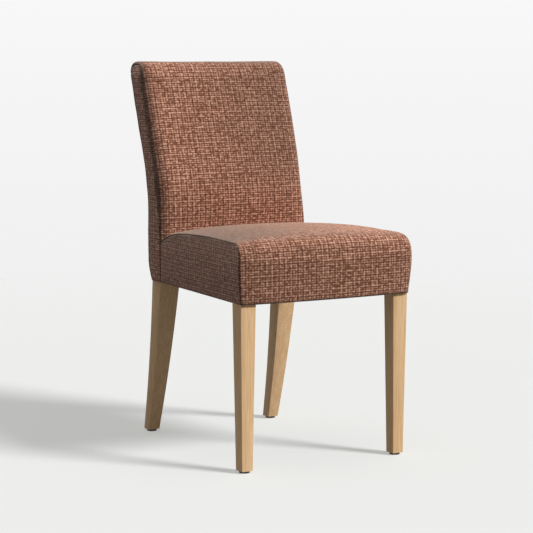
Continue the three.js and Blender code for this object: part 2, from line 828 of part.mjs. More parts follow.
function addCornerBlock(name, side, end) {
  const bolt = cornerBolt(side, end);
  const { railFace, inward, nearSum, farSum } = bolt;
  const faceY = railFace + inward * gap;
  const cornerX = sideRailInnerAt(railFace);
  const railLength = sideRail.rearEnd - sideRail.frontEnd;
  const railTaper = (sideRail.frontOuter - sideRail.rearOuter) / railLength;
  const onSideRail = (sum) => {
    const along = (sum - gap) / (1 + inward * railTaper);
    return [side * (cornerX - sum + along), railFace + inward * along];
  };
  const onCrossRail = (sum) => [side * (cornerX - sum + gap), faceY];
  const outline = [onSideRail(nearSum), onSideRail(farSum), onCrossRail(farSum), onCrossRail(nearSum)];
  const bottom = railBottom + (railHeight - cornerBlockHeight) * half;
  const body = planSlab(outline, cornerBlockHeight).translate(0, 0, bottom);
  addPiece(`corner_block_${name}`, cut(body, [boltHole(bolt)]), beech);
  addBolt(name, bolt);
}

// A hexagon-headed bolt and its washer, bearing on the inner face of the corner block.
function addBolt(name, bolt) {
  const turn = new THREE.Quaternion().setFromUnitVectors(alongY, bolt.outward);
  const washerStack = washerThickness + 2 * gap;
  const shankEnd = shankLength + washerStack;
  const shank = [
    [0, 0],
    [boltRadius, 0],
    [boltRadius, shankEnd - boltRadius],
    [0, shankEnd],
  ];
  const shankPoints = shank.map(([r, v]) => new THREE.Vector2(r, v));
  const lathed = new THREE.LatheGeometry(shankPoints, roundSteps);
  const head = new THREE.CylinderGeometry(boltHeadRadius, boltHeadRadius, boltHeadHeight, hexagonSides);
  head.translate(0, -boltHeadHeight * half + gap, 0);
  const whole = solidFrom(lathed).add(solidFrom(head)).getMesh();
  const geometry = new THREE.BufferGeometry();
  geometry.setAttribute("position", new THREE.Float32BufferAttribute(whole.vertProperties, 3));
  geometry.setIndex(new THREE.Uint32BufferAttribute(whole.triVerts, 1));
  const piece = addPiece(`corner_bolt_${name}`, geometry.toNonIndexed(), steel);
  piece.geometry.computeVertexNormals();
  piece.quaternion.copy(turn);
  piece.position.copy(bolt.seat).addScaledVector(bolt.outward, -washerStack - gap);

  const bore = boltRadius + boltClearance;
  const ring = [
    [bore, 0],
    [washerRadius, 0],
    [washerRadius, washerThickness],
    [bore, washerThickness],
    [bore, 0],
  ];
  const ringPoints = ring.map(([r, v]) => new THREE.Vector2(r, v));
  const washer = addPiece(`washer_${name}`, new THREE.LatheGeometry(ringPoints, roundSteps), steel);
  washer.quaternion.copy(turn);
  washer.position.copy(bolt.seat).addScaledVector(bolt.outward, -washerThickness - gap);
}

function addBackRails() {
  const width = 2 * (post.inner - gap);
  const front = post.front + backRailInset;
  const crestTop = postTop - crestRailDrop;
  const crest = leaningOutline(crestTop - crestRailHeight, crestTop, front, front + railThickness);
  addPiece("crest_rail", sideSlab(crest, width), beech);
  const lowerBottom = railTop + lowerRailLift;
  const lowerTop = lowerBottom + lowerRailHeight;
  const lower = leaningOutline(lowerBottom, lowerTop, front, front + railThickness);
  addPiece("lower_back_rail", sideSlab(lower, width), beech);
}

// A woven strap as a side outline: low at its ends, then under and over the straps that cross it.
function wovenOutline(start, end, crossings, firstLow) {
  const reach = strapWidth * half + strapOverlap;
  const levels = [[start, strapLow]];
  crossings.forEach((centre, index) => {
    const low = (index % 2 === 0) === firstLow;
    const level = low ? strapLow : strapLow + strapLift;
    levels.push([centre - reach, level], [centre + reach, level]);
  });
  levels.push([end, strapLow]);
  const under = levels.map(([u, z]) => [u, z]);
  const over = levels.map(([u, z]) => [u, z + strapThickness]).reverse();
  return [...under, ...over];
}

function evenPlaces(count, pitch, middle) {
  return Array.from({ length: count }, (unused, i) => middle + (i - (count - 1) * half) * pitch);
}

function addSeatStraps() {
  const acrossSpan = sideRail.rearEnd - frontRailRear;
  const acrossPitch = acrossSpan / acrossStrapCount;
  const acrossMiddle = (sideRail.rearEnd + frontRailRear) * half;
  const alongPlaces = evenPlaces(alongStrapCount, strapPitch, 0);
  const acrossPlacesY = evenPlaces(acrossStrapCount, acrossPitch, acrossMiddle);
  alongPlaces.forEach((x, i) => {
    const start = frontRailFront + strapEndMargin;
    const end = rearRailRear - strapEndMargin;
    const outline = wovenOutline(start, end, acrossPlacesY, i % 2 === 0);
    addPiece(`seat_strap_long_${i + 1}`, sideSlab(outline, strapWidth), webbing).position.x = x;
  });
  acrossPlacesY.forEach((y, i) => {
    const reach = sideRailOuterAt(y + strapWidth * half) - strapEndMargin;
    const outline = wovenOutline(-reach, reach, alongPlaces, i % 2 === 1);
    addPiece(`seat_strap_cross_${i + 1}`, frontSlab(outline, strapWidth), webbing).position.y = y;
  });
}

function addBackStraps() {
  const reach = 2 * (post.outer - strapEndMargin);
  const middle = (backStrapLow + backStrapHigh) * half;
  evenPlaces(backStrapCount, backStrapPitch, middle).forEach((z, i) => {
    const slope = leanSlopeAt(z);
    const geometry = new THREE.BoxGeometry(reach, strapThickness, backStrapWidth);
    geometry.translate(0, -strapThickness * half - gap, 0);
    const strap = addPiece(`back_strap_${i + 1}`, geometry, webbing);
    strap.position.set(0, post.front + leanAt(z), z);
    strap.rotation.x = -Math.atan(slope);
  });
}

// Thin pads between the frame and the covers
function addWadding() {
  const padTop = railTop;
  const rings = [];
  const back = frontBlock.front - gap;
  const padReach = seatFrontHalfWidth - seatRoll - padClearance;
  for (let i = 0; i <= middleSteps; i++) {
    const across = (2 * i) / middleSteps - 1;
    const x = padReach * across;
    const crown = seatFrontCrown * Math.abs(across) ** crownPower;
    const front = -seatDepth + coverInside + crown;
    rings.push([
      new THREE.Vector3(x, front, railBottom),
      new THREE.Vector3(x, front, padTop),
      new THREE.Vector3(x, back, padTop),
      new THREE.Vector3(x, back, railBottom),
    ]);
  }
  addPiece("seat_front_pad", ringSolid(rings, flattenSide), wadding);

  const sideBackFront = backPadDepth + gap;
  const sidePadWidth = backHalfWidth - coverInside - post.outer - gap;
  const sideBack = leaningOutline(railTop + postTaper, postTop, sideBackFront, post.rear);
  for (const [name, side] of Object.entries(sides)) {
    const outline = [
      [side * (sideRailOuterAt(sideRail.frontEnd) + gap), sideRail.frontEnd],
      [side * insideCoverAt(sideRail.frontEnd), sideRail.frontEnd],
      [side * insideCoverAt(0), 0],
      [side * insideCoverAt(0), sideRail.rearEnd],
      [side * (sideRailOuterAt(sideRail.rearEnd) + gap), sideRail.rearEnd],
    ];
    const seatPad = addPiece(`seat_side_pad_${name}`, planSlab(outline, railHeight), wadding);
    seatPad.position.z = railBottom;
    const backPad = addPiece(`back_side_pad_${name}`, sideSlab(sideBack, sidePadWidth), wadding);
    backPad.position.x = side * (post.outer + gap + sidePadWidth * half);
  }

  const rearInner = post.rear + gap;
  const rearOuter = backThickness - backRearCrown - coverInside;
  const rearPad = leaningOutline(coverBottom + backTuckHeight, postTop, rearInner, rearOuter);
  const rearWidth = 2 * (backHalfWidth - rollRear - padClearance);
  addPiece("back_rear_pad", sideSlab(rearPad, rearWidth), wadding);
}

// The thin cloth that closes the underside, cut clear of the four legs.
function addDustCover() {
  const frontReach = frontBlock.inner - dustCoverRelief;
  const rearReach = rearBlock.inner - dustCoverRelief;
  const frontY = frontFace + coverInside;
  const rearY = backThickness - backRearTuck - backRearCrown - coverInside;
  const behindFront = frontBlock.rear + dustCoverRelief;
  const beforeRear = rearBlock.front - dustCoverRelief;
  const right = [
    [frontReach, frontY],
    [frontReach, behindFront],
    [insideCoverAt(behindFront), behindFront],
    [insideCoverAt(0), 0],
    [insideCoverAt(0), beforeRear],
    [rearReach, beforeRear],
    [rearReach, rearY],
  ];
  const left = right.map(([x, y]) => [-x, y]).reverse();
  const dust = addPiece("dust_cover", planSlab([...right, ...left], dustCoverThickness), lining);
  dust.position.z = coverBottom;
}

for (const [name, side] of Object.entries(sides)) {
  addFrontLeg(name, side);
  addRearLeg(name, side);
  addCornerBlock(`front_${name}`, side, "front");
  addCornerBlock(`rear_${name}`, side, "rear");
}
addSeatRails();
addBackRails();
addSeatStraps();
addBackStraps();
addSeatFoam();
addBackFoam();
addWadding();
addSeatCovers();
addBackCovers();
addDustCover();

// The origin is the middle of the chair's footprint, on the floor.
const bounds = new THREE.Box3().setFromObject(chair);
chair.position.y = -(bounds.min.y + bounds.max.y) * half;

export default chair;
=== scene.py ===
"""The finished surfaces of an upholstered dining chair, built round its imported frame.

Metres. X runs across the chair, the front is -Y, the floor is z = 0, and left is -X.
The forms of the upholstery are written with y = 0 at the front face of the back, and moved to
the frame's own origin when they are sewn.
"""

import logging
import math
from dataclasses import dataclass, field
from enum import Enum
from typing import Callable, Iterable, Sequence

import bmesh
import bpy
import numpy as np
from mathutils import Color, Matrix, Vector, noise
from mathutils.bvhtree import BVHTree
from mathutils.kdtree import KDTree


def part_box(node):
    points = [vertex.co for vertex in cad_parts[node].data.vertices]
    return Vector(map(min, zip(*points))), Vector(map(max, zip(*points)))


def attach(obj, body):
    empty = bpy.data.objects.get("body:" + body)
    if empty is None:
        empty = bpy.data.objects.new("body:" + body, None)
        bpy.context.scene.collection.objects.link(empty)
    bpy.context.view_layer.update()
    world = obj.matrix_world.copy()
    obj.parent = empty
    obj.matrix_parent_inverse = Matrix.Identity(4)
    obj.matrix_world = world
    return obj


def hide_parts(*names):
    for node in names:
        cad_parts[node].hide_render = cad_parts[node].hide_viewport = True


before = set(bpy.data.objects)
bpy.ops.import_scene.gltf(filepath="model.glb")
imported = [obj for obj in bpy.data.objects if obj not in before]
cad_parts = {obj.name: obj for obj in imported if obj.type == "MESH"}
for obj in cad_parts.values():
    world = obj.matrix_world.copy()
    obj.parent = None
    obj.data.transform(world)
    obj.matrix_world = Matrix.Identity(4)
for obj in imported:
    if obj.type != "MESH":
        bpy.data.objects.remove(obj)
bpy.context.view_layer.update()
log = logging.getLogger("chair")

ROOT = "root"
SIDES = {"left": -1, "right": 1}
WELD = 0.0002
SNAP = 0.00001
FLAT_ANGLE = math.radians(1)
SEAT_DEPTH = 0.435
ORIGIN_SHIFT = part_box("seat_top_cover")[0].y + SEAT_DEPTH

Point = Sequence[float]
Shape = bmesh.types.BMesh
Piece = bpy.types.Object
Finish = bpy.types.Material
Socket = bpy.types.NodeSocket


class Slot(Enum):
    """The record's material slots."""

    OAK = "oak"
    BEECH = "beech"
    UPHOLSTERY = "upholstery"
    FOAM = "foam"
    WADDING = "wadding"
    WEBBING = "webbing"
    LINING = "lining"
    STEEL = "steel"
    PLASTIC = "plastic"


# Small helpers for numbers and shapes


def blend(low: float, high: float, share: float) -> float:
    """Returns the value a share of the way from low to high."""
    return low + (high - low) * share


def clamp(value: float, low: float = 0.0, high: float = 1.0) -> float:
    """Returns the value, kept between low and high."""
    return max(low, min(high, value))


def bezier(start: Point, tip: Point, end: Point, share: float) -> tuple[np.ndarray, np.ndarray]:
    """Follows a quadratic curve.

    Args:
        start: the first point.
        tip: the control point.
        end: the last point.
        share: the place along the curve, from 0 to 1.

    Returns:
        The point there, and the unit direction of travel.
    """
    a, b, c = (np.array(p, float) for p in (start, tip, end))
    run = 2 * (1 - share) * (b - a) + 2 * share * (c - b)
    place = (1 - share) ** 2 * a + 2 * share * (1 - share) * b + share**2 * c
    return place, run / np.linalg.norm(run)


def link(name: str, bm: Shape) -> Piece:
    """Turns a bmesh into a linked object at the origin, and frees the bmesh.

    Args:
        name: the new object's name.
        bm: the shape, with its place in its vertices.

    Returns:
        The new object.
    """
    mesh = bpy.data.meshes.new(name)
    bm.to_mesh(mesh)
    bm.free()
    piece = bpy.data.objects.new(name, mesh)
    bpy.context.scene.collection.objects.link(piece)
    return piece


def smooth(piece: Piece) -> None:
    """Shades every face of a piece smoothly."""
    piece.data.polygons.foreach_set("use_smooth", [True] * len(piece.data.polygons))


def subdivide(piece: Piece, levels: int = 1) -> None:
    """Adds a subdivision surface with equal levels on screen and in renders.

    Args:
        piece: the piece.
        levels: how often its faces are divided.
    """
    modifier = piece.modifiers.new("fine_surface", "SUBSURF")
    modifier.levels = levels
    modifier.render_levels = levels


def thicken(piece: Piece, thickness: float, offset: float = -1.0) -> None:
    """Gives a skin its thickness.

    Args:
        piece: the skin.
        thickness: how thick it becomes.
        offset: -1 to grow on the inner side, and 0 to grow on both sides alike.
    """
    modifier = piece.modifiers.new("thickness", "SOLIDIFY")
    modifier.thickness = thickness
    modifier.offset = offset
    modifier.use_even_offset = False


def round_off(piece: Piece, crease: float) -> None:
    """Shades a piece smoothly, apart from edges sharper than the crease angle in degrees."""
    smooth(piece)
    piece.data.set_sharp_from_angle(angle=math.radians(crease))


def settle(piece: Piece, finish: Finish, nodes: Iterable[str]) -> None:
    """Dresses a finished piece and ties it to the frame.

    Args:
        piece: the piece, in place.
        finish: its material.
        nodes: the nodes of the frame that it stands for.
    """
    piece.data.materials.clear()
    piece.data.materials.append(finish)
    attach(piece, ROOT)
    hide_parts(*nodes)
    log.info("%s: %d faces", piece.name, len(piece.data.polygons))


def grid_piece(points: np.ndarray, flat: np.ndarray | None = None) -> Shape:
    """A grid of faces whose vertices are laid on the given places.

    Args:
        points: places as rows, columns and x, y, z.
        flat: the same places on the flat cut cloth, as rows, columns and u, v, in metres.

    Returns:
        The grid, with a UV map in metres if flat is given.
    """
    rows, columns = points.shape[:2]
    bm = bmesh.new()
    bmesh.ops.create_grid(bm, x_segments=columns - 1, y_segments=rows - 1, size=1, calc_uvs=False)
    place = {}
    for vertex in bm.verts:
        column = round((vertex.co.x + 1) / 2 * (columns - 1))
        row = round((vertex.co.y + 1) / 2 * (rows - 1))
        place[vertex] = (row, column)
    if flat is not None:
        layer = bm.loops.layers.uv.new("cloth")
        for face in bm.faces:
            for loop in face.loops:
                loop[layer].uv = flat[place[loop.vert]]
    for vertex, where in place.items():
        vertex.co = points[where]
    return bm


def face_outwards(bm: Shape, outward: Vector) -> None:
    """Turns an open skin over if most of it faces away from a direction.

    Args:
        bm: the skin.
        outward: the direction.
    """
    bm.normal_update()
    total = sum((face.normal * face.calc_area() for face in bm.faces), Vector())
    if total.dot(outward) < 0:
        bmesh.ops.reverse_faces(bm, faces=bm.faces)


def plain_copy(node: str) -> Shape:
    """Copies the shape of a node of the frame, and welds it.

    Args:
        node: the node's name.

    Returns:
        The copy.
    """
    bm = bmesh.new()
    bm.from_mesh(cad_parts[node].data)
    bmesh.ops.remove_doubles(bm, verts=bm.verts, dist=SNAP)
    return bm


def cut_across(bm: Shape, node: str, step: float, axes: int) -> None:
    """Cuts the faces of a shape by even rows of planes, so that it can bend.

    Args:
        bm: the shape.
        node: the node of the frame whose box the planes divide.
        step: about how far apart they lie.
        axes: how many of the axes are divided, from X on.
    """
    low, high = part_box(node)
    for axis in range(axes):
        count = int((high[axis] - low[axis]) / step)
        normal = Vector([1 if i == axis else 0 for i in range(3)])
        for i in range(1, count):
            place = normal * blend(low[axis], high[axis], i / count)
            geometry = bm.verts[:] + bm.edges[:] + bm.faces[:]
            bmesh.ops.bisect_plane(bm, geom=geometry, plane_co=place, plane_no=normal, dist=SNAP)


def steps_along(points: np.ndarray, axis: int) -> np.ndarray:
    """Returns the distance walked along one axis of a grid of points, from its first row or column."""
    lengths = np.linalg.norm(np.diff(points, axis=axis), axis=2)
    return np.insert(np.cumsum(lengths, axis=axis), 0, 0.0, axis=axis)


def fill_between(edges: dict[str, np.ndarray], relax: int = 300) -> np.ndarray:
    """Fills a four-sided patch smoothly from its edges.

    Args:
        edges: the points along "bottom" and "top", which run the same way, and along "start" and
            "end", which run from the bottom to the top.
        relax: how often each inner point is moved to the middle of its four neighbours.

    Returns:
        The patch as rows, columns and coordinates, with its edges exactly as given.
    """
    bottom, top, start, end = (edges[key] for key in ("bottom", "top", "start", "end"))
    rows, columns = len(start), len(bottom)
    v = np.linspace(0, 1, rows)[:, None, None]
    u = np.linspace(0, 1, columns)[None, :, None]
    along = (1 - v) * bottom[None] + v * top[None]
    across = (1 - u) * start[:, None] + u * end[:, None]
    corners = (1 - v) * ((1 - u) * bottom[0] + u * bottom[-1]) + v * ((1 - u) * top[0] + u * top[-1])
    patch = along + across - corners
    patch[0], patch[-1] = bottom, top
    patch[:, 0], patch[:, -1] = start, end
    for _ in range(relax):
        patch[1:-1, 1:-1] = (patch[:-2, 1:-1] + patch[2:, 1:-1] + patch[1:-1, :-2] + patch[1:-1, 2:]) / 4
    return patch


# Forms of the upholstery


@dataclass(frozen=True)
class Station:
    """One place along a sewn strip: its middle point, the way in, and how its edges drop away."""

    y: float
    z: float
    inward_y: float
    inward_z: float
    crown: float
    roll: float
    over: float = 0.0


@dataclass(frozen=True)
class Lean:
    """The lean of the back: upright low down, a steady rake high up, and a soft bend between."""

    kink: float = 0.600
    bend_half: float = 0.060
    rake: float = 0.33

    def at(self, z: float) -> float:
        """Finds how far the back has leaned.

        Args:
            z: the height.

        Returns:
            The lean at that height.
        """
        above = z - self.kink + self.bend_half
        if above <= 0:
            return 0.0
        if z >= self.kink + self.bend_half:
            return self.rake * (z - self.kink)
        return self.rake * above**2 / (4 * self.bend_half)

    def slope(self, z: float) -> float:
        """Returns the lean's slope at a height."""
        above = z - self.kink + self.bend_half
        return self.rake * clamp(above / (2 * self.bend_half))


@dataclass(frozen=True)
class Strip:
    """A long panel that is sewn to a side panel along each edge, and rolls over into both seams."""

    stations: tuple[Station, ...]
    half_width: Callable[[int, float, float], float]
    middle_steps: int = 56
    roll_steps: int = 3
    right_scale: float = 1.0

    def places(self) -> list[tuple[int, float, float]]:
        """Lists the strip's columns.

        Returns:
            The side, the share of the roll and the share of the flat part of each column.
        """
        turns = [i / self.roll_steps for i in range(self.roll_steps)]
        left = [(-1, turn, 1.0) for turn in turns]
        middle = []
        for i in range(self.middle_steps + 1):
            across = 2 * i / self.middle_steps - 1
            middle.append((-1 if across < 0 else 1, 1.0, abs(across)))
        right = [(1, turn, 1.0) for turn in reversed(turns)]
        return left + middle + right

    def point(self, at: Station, place: tuple[int, float, float]) -> tuple[float, float, float]:
        """A point of the strip.

        Args:
            at: the place along the strip.
            place: side and the two shares, as places() gives them.

        Returns:
            The point, in the form's own frame.
        """
        side, rolled, share = place
        turn = blend(-at.over, math.pi / 2, rolled)
        full_roll = at.roll * (self.right_scale if side > 0 else 1.0)
        seam = full_roll + at.crown
        edge = self.half_width(side, at.y + at.inward_y * seam, at.z + at.inward_z * seam)
        reach = share * (edge - full_roll + full_roll * math.cos(turn))
        drop = full_roll * (1 - math.sin(turn)) + at.crown * (reach / edge) ** 2
        return side * reach, at.y + at.inward_y * drop, at.z + at.inward_z * drop

    def lay(self) -> np.ndarray:
        """Returns the strip's points as rows, columns and x, y, z."""
        places = self.places()
        return np.array([[self.point(at, place) for place in places] for at in self.stations])

    def flat(self, points: np.ndarray) -> np.ndarray:
        """Lays the strip flat.

        Args:
            points: the strip's points, as lay() gives them.

        Returns:
            The place of each point across and along the flat cloth.
        """
        middle = points.shape[1] // 2
        u = steps_along(points, 1)
        u -= u[:, middle : middle + 1]
        v = steps_along(points[:, middle : middle + 1], 0)
        return np.stack([u, np.repeat(v, points.shape[1], axis=1)], axis=2)


@dataclass(frozen=True)
class SeatForm:
    """The padded seat: a crowned top that rolls over its front edge, between two upright sides."""

    front_half: float = 0.2205
    rear_half: float = 0.199
    bottom: float = 0.380
    front_drop: float = 0.0025
    front_sag: float = 0.0012
    front_top: float = 0.523
    rear_top: float = 0.5035
    crest: float = 0.530
    crest_share: float = 0.35
    corner_rise: float = 0.046
    corner_run: float = 0.050
    front_crown: float = 0.0026
    top_crown: float = 0.009
    rear_droop: float = 0.014
    droop_start: float = -0.105
    roll: float = 0.005
    right_scale: float = 3.1
    right_extra: float = 0.0052
    side_swell: float = 0.0045
    right_swell: float = 0.0045
    rear_gap: float = 0.0006
    swell_power: float = 1.15
    droop_power: float = 2.2
    step_power: float = 1.25
    straight_steps: int = 16
    corner_steps: int = 14
    top_steps: int = 60
    across_steps: int = 64

    def half_width(self, side: int, y: float, z: float) -> float:
        """Finds half the seat's width.

        Args:
            side: -1 for left and 1 for right.
            y: the place from front to rear.
            z: the height.

        Returns:
            The distance from the middle plane to the side.
        """
        front = -SEAT_DEPTH + self.front_crown
        taper = clamp((y - front) / -front)
        height = clamp((z - self.bottom) / (self.front_top - self.bottom)) ** self.swell_power
        right = 1.0 if side > 0 else 0.0
        swell = self.side_swell + self.right_swell * right
        half = blend(self.front_half + self.right_extra * right, self.rear_half, taper)
        return half + swell * math.sin(math.pi * height) * (1 - taper)

    def hem(self, y: float) -> float:
        """Returns the height of the cover's lower edge along the side."""
        return self.bottom - self.front_drop * clamp(-y / SEAT_DEPTH)

    def stations(self) -> tuple[Station, ...]:
        """Lists the stations of the middle line.

        Returns:
            The stations up the front, round the front edge and back along the top.
        """
        foot = (-SEAT_DEPTH, self.front_top - self.corner_rise)
        tip = (-SEAT_DEPTH, self.front_top)
        end = (-SEAT_DEPTH + self.corner_run, self.front_top)
        control = (-SEAT_DEPTH * self.crest_share, self.crest)
        rear = (-self.rear_gap, self.rear_top)
        line = []
        for i in range(self.straight_steps):
            z = blend(self.hem(-SEAT_DEPTH), foot[1], i / self.straight_steps)
            line.append(Station(-SEAT_DEPTH, z, 1, 0, self.front_crown, self.roll))
        for i in range(self.corner_steps):
            share = i / self.corner_steps
            (y, z), (run_y, run_z) = bezier(foot, tip, end, share)
            crown = blend(self.front_crown, self.top_crown, share)
            line.append(Station(y, z, run_z, -run_y, crown, self.roll))
        for i in range(self.top_steps + 1):
            share = 1 - (1 - i / self.top_steps) ** self.step_power
            (y, z), _ = bezier(end, control, rear, share)
            droop = clamp((y - self.droop_start) / -self.droop_start) ** self.droop_power
            line.append(Station(y, z, 0, -1, self.top_crown + self.rear_droop * droop, self.roll))
        return tuple(line)


@dataclass(frozen=True)
class BackForm:
    """The padded back: a raked face that runs over a rounded top, sides, and an outside back."""

    lean: Lean = field(default_factory=Lean)
    half: float = 0.199
    thickness: float = 0.070
    top: float = 0.900
    bottom: float = 0.380
    face_start: float = 0.470
    seat_level: float = 0.5035
    face_crown: float = 0.006
    top_dip: float = 0.0032
    top_tilt: float = 0.0013
    dip_height: float = 0.060
    top_crown: float = 0.002
    rear_crown: float = 0.0015
    front_rise: float = 0.032
    front_run: float = 0.025
    rear_rise: float = 0.032
    rear_run: float = 0.032
    roll_at_seat: float = 0.004
    roll_at_face: float = 0.0155
    roll_start: float = 0.500
    roll_reach: float = 0.085
    right_scale: float = 0.77
    over_roll: float = 0.25
    valley_share: float = 0.5
    roll_at_top: float = 0.009
    roll_rear: float = 0.006
    side_bulge: float = 0.0015
    rear_tuck: float = 0.010
    tuck_height: float = 0.045
    foot_roll: float = 0.010
    front_pull: float = 0.013
    rear_pull: float = 0.005
    pull_height: float = 0.040
    right_waist: float = 0.0045
    waist_height: float = 0.610
    waist_reach: float = 0.055
    waist_fade: float = 1.4
    rear_fullness: float = 0.003
    rear_set_back: float = 0.002
    side_gap: float = 0.0006
    low_steps: int = 14
    face_steps: int = 62
    corner_steps: int = 10
    side_steps: int = 2
    roll_steps: int = 6

    def half_width(self, side: int, y: float, z: float) -> float:
        """Finds half the back's width, which draws in towards the top corners and at the bend.

        Args:
            side: -1 for left and 1 for right.
            y: the place from front to rear.
            z: the height.

        Returns:
            The distance from the middle plane to the side.
        """
        depth = clamp((y - self.lean.at(z)) / self.thickness)
        pull = clamp((z - self.top + self.pull_height) / self.pull_height)
        drawn = blend(self.front_pull, self.rear_pull, depth) * pull**2
        if side > 0:
            apart = (z - self.waist_height) / self.waist_reach
            drawn += self.right_waist * math.exp(-(apart**2)) * clamp(1 - self.waist_fade * depth)
        return self.half - drawn

    def level_top(self, points: np.ndarray) -> np.ndarray:
        """Lets the top dip a little between its corners, and rise a little to the left.

        Args:
            points: a panel's points.

        Returns:
            The same points, moved up or down near the top.
        """
        share = np.clip((points[..., 2] - self.top + self.dip_height) / self.dip_height, 0, 1) ** 2
        across = points[..., 0] / self.half
        points[..., 2] += share * (self.top_dip * (across**2 - 0.5) - self.top_tilt * across)
        return points

    def face_station(self, z: float) -> Station:
        """Finds the station of the face.

        Args:
            z: the height.

        Returns:
            The station at that height.
        """
        rise = clamp((z - self.seat_level) / self.lean.bend_half)
        reach = clamp((z - self.roll_start) / self.roll_reach)
        slope = self.lean.slope(z)
        length = math.hypot(1, slope)
        crown = self.face_crown * math.sin(rise * math.pi / 2)
        grown = reach**2 * (3 - 2 * reach)
        roll = blend(self.roll_at_seat, self.roll_at_face, grown)
        over = self.over_roll * grown
        return Station(self.lean.at(z) - crown, z, 1 / length, -slope / length, crown, roll, over)

    def rear_station(self, z: float) -> Station:
        """Finds the station of the outside back.

        Args:
            z: the height.

        Returns:
            The station at that height.
        """
        slope = self.lean.slope(z)
        length = math.hypot(1, slope)
        tuck = clamp(1 - (z - self.bottom) / self.tuck_height)
        full = self.rear_fullness * clamp((z - self.lean.kink) / (self.top - self.lean.kink)) ** 2
        y = self.lean.at(z) + self.thickness + full - self.rear_tuck * tuck**2
        roll = self.roll_rear + self.foot_roll * tuck
        return Station(y, z, -1 / length, slope / length, self.rear_crown, roll)

    def front_stations(self) -> tuple[Station, ...]:
        """Lists the stations of the front panel's middle line.

        Returns:
            The stations up the face, over the top and down to the rear edge.
        """
        face_end = self.top - self.front_rise
        line = []
        for i in range(self.face_steps):
            line.append(self.face_station(blend(self.face_start, face_end, i / self.face_steps)))
        last = self.face_station(face_end)
        front_top = self.lean.at(self.top)
        rear_foot_z = self.top - self.rear_rise
        rear_foot_y = self.rear_station(rear_foot_z).y
        front_tip = (front_top - self.face_crown, self.top)
        front = ((last.y, face_end), front_tip, (front_top + self.front_run, self.top))
        rear_tip = front_top + self.thickness + self.rear_fullness - self.rear_set_back
        rear = ((rear_tip - self.rear_run, self.top), (rear_tip, self.top), (rear_foot_y, rear_foot_z))
        for i in range(self.corner_steps):
            share = i / self.corner_steps
            (y, z), (run_y, run_z) = bezier(*front, share)
            crown = blend(self.face_crown, self.top_crown, share)
            roll = blend(self.roll_at_face, self.roll_at_top, share)
            over = self.over_roll * (1 - share) ** 2
            line.append(Station(y, z, run_z, -run_y, crown, roll, over))
        for i in range(self.side_steps):
            y = blend(front[2][0], rear[0][0], i / self.side_steps)
            line.append(Station(y, self.top, 0, -1, self.top_crown, self.roll_at_top))
        for i in range(self.corner_steps + 1):
            share = i / self.corner_steps
            (y, z), (run_y, run_z) = bezier(*rear, share)
            crown = blend(self.top_crown, self.rear_crown, share)
            roll = blend(self.roll_at_top, self.roll_rear, share)
            line.append(Station(y, z, run_z, -run_y, crown, roll))
        return tuple(line)

    def rear_stations(self) -> tuple[Station, ...]:
        """Lists the stations of the outside back's middle line.

        Returns:
            The stations from its lower edge to the top seam.
        """
        end = self.top - self.rear_rise
        middle = blend(self.bottom, end, self.low_steps / (self.low_steps + self.face_steps))
        low = [blend(self.bottom, middle, i / self.low_steps) for i in range(self.low_steps)]
        high = [blend(middle, end, i / self.face_steps) for i in range(self.face_steps + 1)]
        return tuple(self.rear_station(z) for z in low + high)


# Sewing: panels are cut, sewn to a casing, blown up a little and parted again at their seams


@dataclass
class Panel:
    """A cut panel of cloth."""

    name: str
    points: np.ndarray
    flat: np.ndarray
    outward: Vector
    nodes: tuple[str, ...]


@dataclass(frozen=True)
class Padding:
    """How a sewn casing fills out."""

    pressure: float = 4.0
    frames: int = 20
    cap: float = 0.003
    mass: float = 0.3
    tension: float = 15.0
    bending: float = 0.8
    ripple: float = 0.0006
    ripple_size: float = 0.085
    detail: float = 0.4
    detail_scale: float = 2.6
    seed: float = 3.7


@dataclass(frozen=True)
class Seam:
    """A plain sewn seam: both borders turn in, and the thread draws them in a little unevenly."""

    border: float = 0.0028
    lip: float = 0.0011
    tuck: float = 0.0034
    allowance: float = 0.0045
    hem: float = 0.0010
    hem_turn: float = 0.0016
    pucker: float = 0.0004
    pucker_size: float = 0.011


